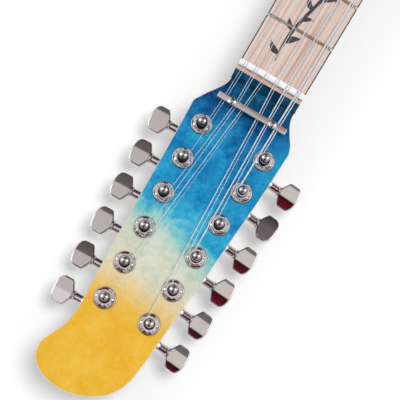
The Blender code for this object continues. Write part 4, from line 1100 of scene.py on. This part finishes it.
def string_path(index):
    """The string's centre line from the bridge to its post."""
    gauge = GAUGES[index]
    radius = gauge / 2
    bridge_x, nut_x = string_x(index, BRIDGE_PITCHES), string_x(index, NUT_PITCHES)
    hole = BODY_TOP + STRING_HOLE_ROWS[index % 2]
    crest, nut_z = string_level(index, BRIDGE_PITCHES, 2 * MM), nut_level(index)
    bar_z = BAR_UNDER - 0.05 * MM - radius
    bar_y, bar_x = NUT_Y + BAR_CENTRE, BAR_CROSSINGS[index]
    path = [(bridge_x, -BRIDGE_BACK - 0.5 * MM, hole), (bridge_x, -BRIDGE_BACK + 3.5 * MM, hole),
            (bridge_x, -2.2 * MM, crest - 0.65 * MM), (bridge_x, -1.2 * MM, crest - 0.2 * MM),
            (bridge_x, 0, crest), (nut_x, NUT_Y, nut_z),
            (nut_x, NUT_Y + 1.6 * MM, nut_z - 0.12 * MM),
            (nut_x, NUT_Y + 3.4 * MM, nut_z - 0.45 * MM),
            (bar_x, bar_y - 2.2 * MM, bar_z - 0.1 * MM), (bar_x, bar_y, bar_z)]
    _, side, at_post, _ = tuner_frames()[index]
    post = at_post.translation
    wrap = POST_WAIST + 0.1 * MM + radius
    low = POST_SHOULDER + 0.35 * MM + radius
    climb = gauge + 0.12 * MM
    turns = min(2.5, (POST_NECK_TOP - 1.1 * MM - radius - low) / climb)
    lean = math.atan2(post.x - side * wrap - bar_x, post.y - bar_y) * side
    for step in range(max(int(turns * WIND_STEPS), 8) + 1):
        share = step / WIND_STEPS
        angle = math.pi - lean - 2 * math.pi * share
        path.append((post.x + side * wrap * math.cos(angle), post.y + wrap * math.sin(angle),
                     post.z + low + climb * share))
    path = [Vector(point) for point in path]
    last = path[-1]
    inward = Vector((post.x - last.x, post.y - last.y, 0)).normalized()
    ahead = (last - path[-2]).normalized()
    return path + [last + ahead * 0.25 * MM + inward * 0.3 * MM,
                   last + ahead * 0.2 * MM + inward * 1.2 * MM]


def build_strings():
    """Twelve strings, plain and wound, each with its ball end."""
    balls = bmesh.new()
    ball = metres([(0.5, -0.2), (1.7, -0.2), (1.8, 0.1), (1.35, 1.0), (1.35, 1.9), (1.8, 2.8),
                   (1.7, 3.1), (0.5, 3.1)])
    for index in range(STRINGS):
        bm = bmesh.new()
        path = string_path(index)
        tube(bm, path, GAUGES[index] / 2, 10)
        piece(f"wire_{index + 1:02d}", bm, "wrap_wire" if index in WOUND else "plain_wire",
              [f"string_{index + 1:02d}"], smooth=60)
        lathe(balls, ball, Matrix.Translation(path[0]) @ Matrix.Rotation(math.pi / 2, 4, "X"), 24)
    piece("ball_ends", balls, "nickel")


def build_body():
    """Solid body with a stained top, scraped edge line, black back and strap buttons."""
    lip = [Vector((x * 33.3, 221.8)) + Vector(p) for x, first in ((1, 0), (-1, 90))
           for p in arc((0, 0), 2.2, first, first + 90, 5)]
    outline = [p for p in curve_through(BODY_OUTLINE, 8) if abs(p.x) > 40 or p.y < 221.5] + lip
    outline = [p * MM for p in outline]
    edge = bpy.context.scene.guitar_sizes.edge_line * 1.6
    levels = [(*step, 1) for step in rounding(5 * MM, 6)]
    levels += [(0, BODY_TOP - 1.8 * MM - edge, 1), (0, BODY_TOP - 1.8 * MM, 2)]
    levels += [(inward, BODY_TOP - rise, 2) for inward, rise in rounding(1.8 * MM, 5)[-2::-1]]
    levels.append((2.2 * MM, BODY_TOP, 0))
    corners = [Vector(BODY_OUTLINE[i]) * MM for i in (0, -1)]
    nearest = [min((p - corner).length for corner in corners) for p in outline]
    bm, seat, slot, socket = (bmesh.new() for _ in range(4))
    plate(bm, outline, levels,
          [0.12 + 0.88 * smooth_step((d - 3 * MM) / (16 * MM)) for d in nearest])
    floor = JACK_SEAT - 0.3 * MM
    middle = (JACK_LOW + JACK_HIGH) / 2
    ring = rounded_outline(19.3 * MM, 13.3 * MM, 2.5 * MM, 5, (middle.y, middle.z))
    skin(seat, [[(x, p.x, p.y) for p in ring] for x in (floor, floor + 12 * MM)])
    lever_low, lever_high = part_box("pickup_selector")
    lever = (lever_low + lever_high) / 2
    plate(slot, rounded_outline(1.2 * MM, 11 * MM, 1.1 * MM, 4, lever.xy),
          [(0, BODY_TOP - 9 * MM), (0, BODY_TOP + 2 * MM)])
    lathe(socket, metres([(5.7, -24), (5.7, 2)]), Matrix.Translation(
        (floor, middle.y, middle.z)) @ Matrix.Rotation(math.pi / 2, 4, "Y"), 40)
    # The cut walls take the black lacquer: real on the jack's seat in the black side, and painted
    # shade down the narrow lever slot and the socket's bore
    for cutter in (seat, slot, socket):
        for face in cutter.faces:
            face.material_index = 1
    piece("solid_body", cut_away(bm, [seat, slot, socket]), "body_stain lacquer edge_maple",
          ["body"], smooth=30)
    buttons = bmesh.new()
    button = metres([(6.7, -1), (6.7, 0.8), (5.4, 2.4), (4.2, 4), (4.0, 6), (4.6, 7.4),
                     (7.2, 8.4), (7.5, 9.2), (7.2, 10.2), (5.6, 10.9), (3.4, 10.9),
                     (3.0, 10.3), (0, 10.3)])
    for end, y, turn in ((min, BODY_LOW.y + 11 * MM, math.pi / 2),
                         (max, BODY_HIGH.y - 11 * MM, -math.pi / 2)):
        x = end(outline, key=lambda p: p.y).x
        lathe(buttons, button, Matrix.Translation((x, y, BODY_TOP / 2))
              @ Matrix.Rotation(turn, 4, "X"))
    piece("strap_buttons", buttons, "chrome")
    ferrule = turned([(7, 0), (7, 0.15), (6.4, 0.3), (4.4, 0.3), (4.2, 0.05), (0, 0.05)], 40)
    copies("neck_screw_ferrules", ferrule,
           [(Vector((x, y, 0.25)) * MM, (math.pi, 0, 0)) for x in (-19, 19) for y in (172, 208)],
           "chrome")


def screw_form(radius, height):
    """A round-headed screw with a dished recess; sizes in millimetres."""
    shares = [(1, 0), (1, 0.35), (0.85, 0.75), (0.5, 1), (0.32, 1), (0.2, 0.45), (0, 0.4)]
    return turned([(radius * wide, height * tall) for wide, tall in shares], 20)


def build_pickups():
    """Two open-coil humbuckers in sloped rings with their pole screws."""
    poles, slugs, mounting = [], [], []
    base = BODY_TOP + 0.05 * MM
    for name in ("neck_pickup", "bridge_pickup"):
        low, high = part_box(name)
        x, y = (low.x + high.x) / 2, (low.y + high.y) / 2
        top = high.z - 0.6 * MM
        pitch = BRIDGE_PITCHES[0] + (NUT_PITCHES[0] - BRIDGE_PITCHES[0]) * y / NUT_Y
        bm = bmesh.new()
        outer = rounded_outline(46 * MM, 22.5 * MM, 4 * MM, 6, (x, y))
        hole = rounded_outline(35.6 * MM, 17.6 * MM, 2 * MM, 6, (x, y))
        skin(bm, [[(p.x, p.y, base + level * MM) for p in ring] for ring, level in (
            (hole, 0), (outer, 0), (outer, 4.4), (inset(outer, 0.4 * MM), 5.3),
            (inset(outer, 1.3 * MM), 5.6), (hole, 5.6))], loop=True)
        rounded_block(bm, rounded_outline(35 * MM, 17.2 * MM, 2.5 * MM, 5, (x, y)),
                      BODY_TOP - 12 * MM, top - 1.6 * MM, 0.6 * MM)
        for row, coil_y in ((poles, y + 8.6 * MM), (slugs, y - 8.6 * MM)):
            rounded_block(bm, rounded_outline(34 * MM, 8.1 * MM, 7.6 * MM, 8, (x, coil_y)),
                          top - 2.2 * MM, top, 0.6 * MM)
            row.extend((Vector((((COURSES - 1) / 2 - course) * pitch, coil_y, top - 0.15 * MM)),
                        (0, 0, 0.5 * course)) for course in range(COURSES))
        piece(f"{name}_coils", bm, "abs", [name])
        for side in (-1, 1):
            mounting += [(Vector((side * x, y + dy, BODY_TOP + 5.6 * MM)), (0, 0, turn))
                         for x, dy, turn in ((42 * MM, -18.6 * MM, 0.3 * side),
                                             (42 * MM, 18.6 * MM, 0.3 * side),
                                             (41.4 * MM, 0, 0.8))]
    copies("pole_screws", screw_form(2.4, 0.75), poles, "nickel")
    slug = turned([(2.4, 0), (2.4, 0.3), (2.2, 0.45), (0, 0.45)], 24)
    copies("pole_slugs", slug, slugs, "nickel")
    copies("ring_screws", screw_form(2.0, 1.0), mounting, "chrome")


def build_bridge():
    """Fixed bridge: plate with a rear wall, six double saddles and their screws."""
    low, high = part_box("bridge")
    base = BODY_TOP + 0.05 * MM
    plate_form, saddles = bmesh.new(), bmesh.new()
    rounded_block(plate_form, rounded_outline(42 * MM, (high.y - low.y) / 2, 2.5 * MM, 5,
                                              (0, (low.y + high.y) / 2)),
                  base, base + 2.8 * MM, 0.6 * MM)
    rounded_block(plate_form, rounded_outline(39 * MM, 1.5 * MM, 0.6 * MM, 3,
                                              (0, low.y + 1.5 * MM)),
                  base + 1 * MM, BODY_TOP + 10 * MM, 0.5 * MM)
    piece("bridge_plate", plate_form, "nickel", ["bridge"])
    screws, heights = [], []
    for course in range(COURSES):
        x = ((COURSES - 1) / 2 - course) * BRIDGE_PITCHES[0]
        top = BOARD_TOP + FRET_RISE + 2 * MM - crown(abs(x) + 1.5 * MM) - 0.02 * MM
        profile = [(-11 * MM, base + 3.0 * MM), (5 * MM, base + 3.0 * MM)]
        profile += [(y * MM, top - drop * MM) for y, drop in (
            (5, 2.6), (3.4, 1.1), (1.6, 0.25), (0, 0), (-1.6, 0.3), (-3.6, 1.6))]
        profile.append((-11 * MM, base + 5.6 * MM))
        skin(saddles, [[(x + side * MM, y, z - (shrink if z > base + 4 * MM else 0))
                        for y, z in profile]
                       for side, shrink in ((-4.6, 0.3 * MM), (-4.3, 0), (4.3, 0),
                                            (4.6, 0.3 * MM))])
        head = Vector((x - 2.4 * MM, low.y - 0.05 * MM, BODY_TOP + 4.1 * MM))
        screws.append((head, (math.pi / 2, 0, 0)))
        rod = Matrix.Translation(head) @ Matrix.Rotation(-math.pi / 2, 4, "X")
        lathe(saddles, [(0.7 * MM, 0), (0.7 * MM, -10.8 * MM - head.y)], rod, 16)
        heights += [(Vector((x + side * MM, 2.6 * MM, top - 1.0 * MM)), (0, 0, 0))
                    for side in (-3.1, 3.1)]
    piece("saddles", saddles, "nickel", smooth=25)
    copies("saddle_screws", screw_form(1.05, 0.8), screws, "chrome")
    grub = turned([(1.1, -2), (1.1, 0.2), (0.9, 0.4), (0.55, 0.4), (0.5, -0.4), (0, -0.4)], 18)
    copies("height_screws", grub, heights, "chrome")
    places = [(Vector((x * MM, 14 * MM, base + 2.8 * MM)), (0, 0, 0.4)) for x in (-37, 0, 37)]
    copies("bridge_screws", screw_form(3.0, 1.3), places, "chrome")


def knob_form(bm, place):
    """Knurled knob with a domed top, on its shaft."""
    count = bpy.context.scene.guitar_sizes.knob_ridges * 2
    rings = []
    for radius, height, cut in ((9.0, 0.8, 0), (9.5, 1.2, 0.35), (9.5, 12.6, 0.35), (9.1, 13.6, 0),
                                (8.3, 14.4, 0), (7.6, 15.2, 0), (5.5, 15.85, 0), (2.5, 16, 0)):
        sizes = [(radius - (cut if i % 2 else 0)) * MM for i in range(count)]
        rings.append([(size * math.cos(2 * math.pi * i / count),
                       size * math.sin(2 * math.pi * i / count), height * MM)
                      for i, size in enumerate(sizes)])
    skin(bm, rings, Matrix.Translation(place))
    lathe(bm, metres([(3, -9), (3, 1)]), Matrix.Translation(place), 24)


def build_controls():
    """Volume and tone knobs with their marks, and the selector lever."""
    for name in ("volume_knob", "tone_knob"):
        place = Vector(JOINTS[f"{name}_turn"]["pos_m"])
        cap, mark, washer = (bmesh.new() for _ in range(3))
        knob_form(cap, place)
        rounded_block(mark, rounded_outline(0.45 * MM, 3.2 * MM, 0.3 * MM, 3,
                                            (place.x, place.y + 4.6 * MM)),
                      place.z + 15 * MM, place.z + 15.95 * MM, 0.1 * MM)
        lathe(washer, metres([(3.3, 0.05), (7.5, 0.05), (7.5, 0.5), (3.3, 0.6)]),
              Matrix.Translation(place), 40, loop=True)
        piece(f"{name}_cap", cap, "nickel", [name], name, 20)
        piece(f"{name}_mark", mark, "dark", body=name)
        piece(f"{name}_washer", washer, "nickel")
    pivot = Vector(JOINTS["pickup_selector_swing"]["pos_m"])
    blade, tip = bmesh.new(), bmesh.new()
    rounded_block(blade, rounded_outline(0.8 * MM, 2.5 * MM, 0.3 * MM, 3, pivot.xy),
                  pivot.z, pivot.z + 21 * MM, 0.2 * MM)
    plate(tip, rounded_outline(3.0 * MM, 4.0 * MM, 2.6 * MM, 6, pivot.xy),
          [(inward * MM, pivot.z + height * MM) for inward, height in (
              (0.8, 19.6), (0.1, 20.2), (0, 21.5), (0.4, 24.5), (0.3, 26.6), (0.7, 28.0),
              (1.8, 28.55))])
    piece("lever_blade", blade, "nickel", ["pickup_selector"],
          "pickup_selector")
    piece("lever_tip", tip, "abs", body="pickup_selector")


def build_jack():
    """Rim plate, socket and nut of the output jack."""
    middle = (JACK_LOW + JACK_HIGH) / 2
    to_rim = (Matrix.Translation((JACK_SEAT, middle.y, middle.z))
              @ Matrix.Rotation(math.pi / 2, 4, "Y"))
    rim, socket, floor = (bmesh.new() for _ in range(3))
    outer = rounded_outline(13 * MM, 19 * MM, 2.5 * MM, 6)
    hole = [p.normalized() * 6.2 * MM for p in outer]
    skin(rim, [[(p.x, p.y, z * MM) for p in ring] for ring, z in (
        (hole, 0), (outer, 0), (outer, 2.4), (inset(outer, 0.25 * MM), 2.85),
        (inset(outer, 0.7 * MM), 3.0), (inset(outer, 1.0 * MM), 3.0), (hole, 3.0))],
         to_rim, loop=True)
    piece("jack_plate", rim, "chrome", ["output_jack"])
    hex_nut(socket, to_rim, 12.8 * MM, 3.0 * MM, 5.2 * MM, 4.6 * MM)
    lathe(socket, metres([(3.4, -22), (5.2, -22), (5.2, 3), (4.6, 5.35), (3.7, 5.4),
                          (3.4, 5.1)]), to_rim, 40, loop=True)
    piece("jack_socket", socket, "nickel", smooth=25)
    # A dark disc at the bottom of the socket's bore: painted shade
    lathe(floor, metres([(3.4, -22.2), (3.4, -21.9)]), to_rim, 24)
    piece("jack_floor", floor, "dark")
    places = [(Vector((JACK_SEAT + JACK_PLATE, middle.y + y * MM, middle.z + z * MM)),
               (0, math.pi / 2, 0)) for y in (-15.5, 15.5) for z in (-9.5, 9.5)]
    copies("jack_screws", screw_form(1.9, 0.9), places, "chrome")


# Studio

def seen_directly(tree):
    """1 for rays that show a surface to the eye, 0 for those that only light the scene."""
    paths = add(tree, "ShaderNodeLightPath").node.outputs
    seen = paths["Is Camera Ray"]
    for ray in ("Is Glossy Ray", "Is Transmission Ray"):
        seen = add(tree, MATH, (seen, paths[ray]), operation="MAXIMUM")
    return seen


def build_stage():
    """White floor, soft lights, painted reflections for the plated parts, and the camera."""
    scene = bpy.context.scene
    bm = bmesh.new()
    bmesh.ops.create_grid(bm, x_segments=2, y_segments=2, size=6)
    floor = stand("floor", plain_mesh("floor", bm))
    # White paper board: matt, a little brighter to the eye far from the guitar
    material, tree, sockets = begin_material("matt_white_board", "f2f2f2", roughness=0.9,
                                             Emission_Color=(1, 1, 1, 1),
                                             Specular_IOR_Level=0.1)
    coord = add(tree, "ShaderNodeTexCoord", output="Object")
    reach = add(tree, "ShaderNodeVectorMath", (coord,), "Value", operation="LENGTH")
    glow = add(tree, RANGE, (reach, 1.3, 3.0, 0.2, 0.6), interpolation_type="SMOOTHSTEP")
    add(tree, MATH, (seen_directly(tree), glow), into=sockets["Emission Strength"],
        operation="MULTIPLY")
    floor.data.materials.append(material)
    centre = Vector((0, NUT_Y + 0.12, FACE))
    for name, offset, size, power in (("softbox", (-0.21, -0.14, 1.3), 0.48, 8.6),
                                      ("window", (0.9, -0.6, 1.0), 0.5, 1.2)):
        data = bpy.data.lights.new(name, "AREA")
        data.shape = "DISK"
        data.size = size
        data.energy = power
        lamp = stand(name, data)
        lamp.location = centre + Vector(offset)
        lamp.rotation_euler = (-Vector(offset)).to_track_quat("-Z", "Y").to_euler()
        lamp.visible_glossy = False
    build_world(scene)
    camera = stand("camera", bpy.data.cameras.new("camera"))
    camera.data.lens = 98.695
    camera.data.sensor_width = 36
    camera.data.clip_start = 0.01
    camera.location = (-21.4026 * MM, NUT_Y + 229.478 * MM, FACE + 692.1599 * MM)
    camera.rotation_euler = tuple(math.radians(a) for a in (10.53122, -4.10350, 210.13514))
    scene.camera = camera
    scene.view_settings.view_transform = "Standard"


def build_world(scene):
    """Even white light; to glossy rays alone, painted reflections: a studio's bright, dark and red
    areas and two bright patches as painted highlights, for the plated parts to show.
    """
    scene.world = bpy.data.worlds.new("studio")
    scene.world.use_nodes = True
    tree = scene.world.node_tree
    background = tree.nodes["Background"].inputs
    direction = add(tree, "ShaderNodeTexCoord", output="Generated")
    axes = add(tree, "ShaderNodeSeparateXYZ", (direction,)).node.outputs
    place = add(tree, RANGE, (axes["Y"], -1.0, 1.0))
    right = add(tree, RAMP, (place,), stops=[
        (0.0, "2c2828"), (0.2, "5a5555"), (0.355, "736d6d"), (0.362, "cfc9c8"),
        (0.575, "d4cecd"), (0.6, "f0eff6"), (0.76, "efeef4"), (0.8, "4a1a20"),
        (0.92, "3a1016"), (0.95, "e0dbd9")])
    left = add(tree, RAMP, (place,), stops=[
        (0.0, "cfc4ba"), (0.06, "b5a99e"), (0.1, "332f30"), (0.18, "5a5556"), (0.24, "736e70"),
        (0.362, "787376"), (0.369, "dfdbd8"), (0.508, "e3dfdc"), (0.512, "140b0b"),
        (0.518, "4a3a38"), (0.53, "1c080c"), (0.545, "5c0f1f"), (0.65, "7c1a2e"),
        (0.78, "3a0f18"), (1.0, "2a0a10")])
    side = add(tree, RANGE, (axes["X"], 0.045, 0.055))
    breadth = add(tree, MATH, (axes["X"],), operation="ABSOLUTE")
    ahead = add(tree, RANGE, (axes["Y"], -0.75, -0.55))
    walls = add(tree, RANGE, (breadth, 0.32, 0.5))
    walls = add(tree, MATH, (walls, ahead), operation="MULTIPLY")
    low = add(tree, RANGE, (axes["Z"], 0.34, 0.18))
    low = add(tree, MATH, (low, ahead), operation="MULTIPLY")
    areas = [(side, right), (walls, hex_colour("e3dedd")), (low, hex_colour("3c3738"))]
    # Two bright patches seen only by glossy rays: painted highlights, not lamps
    for window in ((0.85, 0.22, 0.47), (-0.73, -0.31, 0.6)):
        near = add(tree, "ShaderNodeVectorMath", (direction, window), "Value",
                   operation="DOT_PRODUCT")
        areas.append((add(tree, RANGE, (near, 0.90, 0.95)), (2.4, 2.4, 2.4, 1.0)))
    tone = left
    for share, colour in areas:
        tone = add(tree, MIX, {0: share, 6: tone, 7: colour}, 2, data_type="RGBA")
    glossy = add(tree, "ShaderNodeLightPath", output="Is Glossy Ray")
    add(tree, MIX, {0: glossy, 6: (1, 1, 1, 1), 7: tone}, 2, background["Color"],
        data_type="RGBA")
    add(tree, RANGE, {0: seen_directly(tree), 3: 0.5}, into=background["Strength"])


# The add-on's operators

class GUITAR_OT_neck(bpy.types.Operator):
    """Build the neck and headstock"""

    bl_idname = "guitar.neck"
    bl_label = "Neck"

    def execute(self, context):
        build_neck()
        return {"FINISHED"}


class GUITAR_OT_fingerboard(bpy.types.Operator):
    """Build the fingerboard and its frets"""

    bl_idname = "guitar.fingerboard"
    bl_label = "Fingerboard"

    def execute(self, context):
        build_fingerboard()
        return {"FINISHED"}


class GUITAR_OT_inlay(bpy.types.Operator):
    """Lay the vine into the fingerboard"""

    bl_idname = "guitar.inlay"
    bl_label = "Inlay"

    def execute(self, context):
        build_inlay()
        return {"FINISHED"}


class GUITAR_OT_string_nut(bpy.types.Operator):
    """Build the nut"""

    bl_idname = "guitar.string_nut"
    bl_label = "Nut"

    def execute(self, context):
        build_nut()
        return {"FINISHED"}


class GUITAR_OT_string_bar(bpy.types.Operator):
    """Build the bar over the strings"""

    bl_idname = "guitar.string_bar"
    bl_label = "String bar"

    def execute(self, context):
        build_string_bar()
        return {"FINISHED"}


class GUITAR_OT_housings(bpy.types.Operator):
    """Build cases, bushings, washers and nuts"""

    bl_idname = "guitar.housings"
    bl_label = "Tuner housings"

    def execute(self, context):
        build_housings()
        return {"FINISHED"}


class GUITAR_OT_posts(bpy.types.Operator):
    """Build the twelve posts"""

    bl_idname = "guitar.posts"
    bl_label = "Tuner posts"

    def execute(self, context):
        build_posts()
        return {"FINISHED"}


class GUITAR_OT_keys(bpy.types.Operator):
    """Build the twelve keys"""

    bl_idname = "guitar.keys"
    bl_label = "Tuner keys"

    def execute(self, context):
        build_keys()
        return {"FINISHED"}


class GUITAR_OT_strings(bpy.types.Operator):
    """Build the twelve strings"""

    bl_idname = "guitar.strings"
    bl_label = "Strings"

    def execute(self, context):
        build_strings()
        return {"FINISHED"}


class GUITAR_OT_solid_body(bpy.types.Operator):
    """Build the body, strap buttons and ferrules"""

    bl_idname = "guitar.solid_body"
    bl_label = "Body"

    def execute(self, context):
        build_body()
        return {"FINISHED"}


class GUITAR_OT_pickups(bpy.types.Operator):
    """Build both pickups"""

    bl_idname = "guitar.pickups"
    bl_label = "Pickups"

    def execute(self, context):
        build_pickups()
        return {"FINISHED"}


class GUITAR_OT_bridge(bpy.types.Operator):
    """Build the bridge"""

    bl_idname = "guitar.bridge"
    bl_label = "Bridge"

    def execute(self, context):
        build_bridge()
        return {"FINISHED"}


class GUITAR_OT_controls(bpy.types.Operator):
    """Build the knobs and the selector"""

    bl_idname = "guitar.controls"
    bl_label = "Controls"

    def execute(self, context):
        build_controls()
        return {"FINISHED"}


class GUITAR_OT_jack(bpy.types.Operator):
    """Build the output jack"""

    bl_idname = "guitar.jack"
    bl_label = "Output jack"

    def execute(self, context):
        build_jack()
        return {"FINISHED"}


class GUITAR_OT_stage(bpy.types.Operator):
    """Build the floor, lights and camera"""

    bl_idname = "guitar.stage"
    bl_label = "Studio"

    def execute(self, context):
        build_stage()
        return {"FINISHED"}


OPERATORS = [
    GUITAR_OT_neck, GUITAR_OT_fingerboard, GUITAR_OT_inlay, GUITAR_OT_string_nut,
    GUITAR_OT_string_bar, GUITAR_OT_housings, GUITAR_OT_posts, GUITAR_OT_keys,
    GUITAR_OT_strings, GUITAR_OT_solid_body, GUITAR_OT_pickups, GUITAR_OT_bridge,
    GUITAR_OT_controls, GUITAR_OT_jack, GUITAR_OT_stage]


class GUITAR_PT_panel(bpy.types.Panel):
    """Lists the guitar's sizes, colours and building steps."""

    bl_label = "Guitar"
    bl_idname = "GUITAR_PT_panel"
    bl_space_type = "VIEW_3D"
    bl_region_type = "UI"
    bl_category = "Guitar"

    def draw(self, context):
        for group, kind in ((context.scene.guitar_sizes, GuitarSizes),
                            (context.scene.guitar_colours, GuitarColours)):
            for key in kind.__annotations__:
                self.layout.prop(group, key)
        for item in OPERATORS:
            self.layout.operator(item.bl_idname)


CLASSES = [GuitarSizes, GuitarColours, *OPERATORS, GUITAR_PT_panel]


def register():
    """Registers the classes and gives the scene its properties."""
    for item in CLASSES:
        bpy.utils.register_class(item)
    bpy.types.Scene.guitar_sizes = PointerProperty(type=GuitarSizes)
    bpy.types.Scene.guitar_colours = PointerProperty(type=GuitarColours)


def unregister():
    """Takes the properties and the classes away again."""
    del bpy.types.Scene.guitar_colours
    del bpy.types.Scene.guitar_sizes
    for item in reversed(CLASSES):
        bpy.utils.unregister_class(item)


def main():
    """Registers the add-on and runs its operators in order."""
    register()
    for item in OPERATORS:
        getattr(bpy.ops.guitar, item.bl_idname.split(".")[1])()


if __name__ == "__main__":
    main()
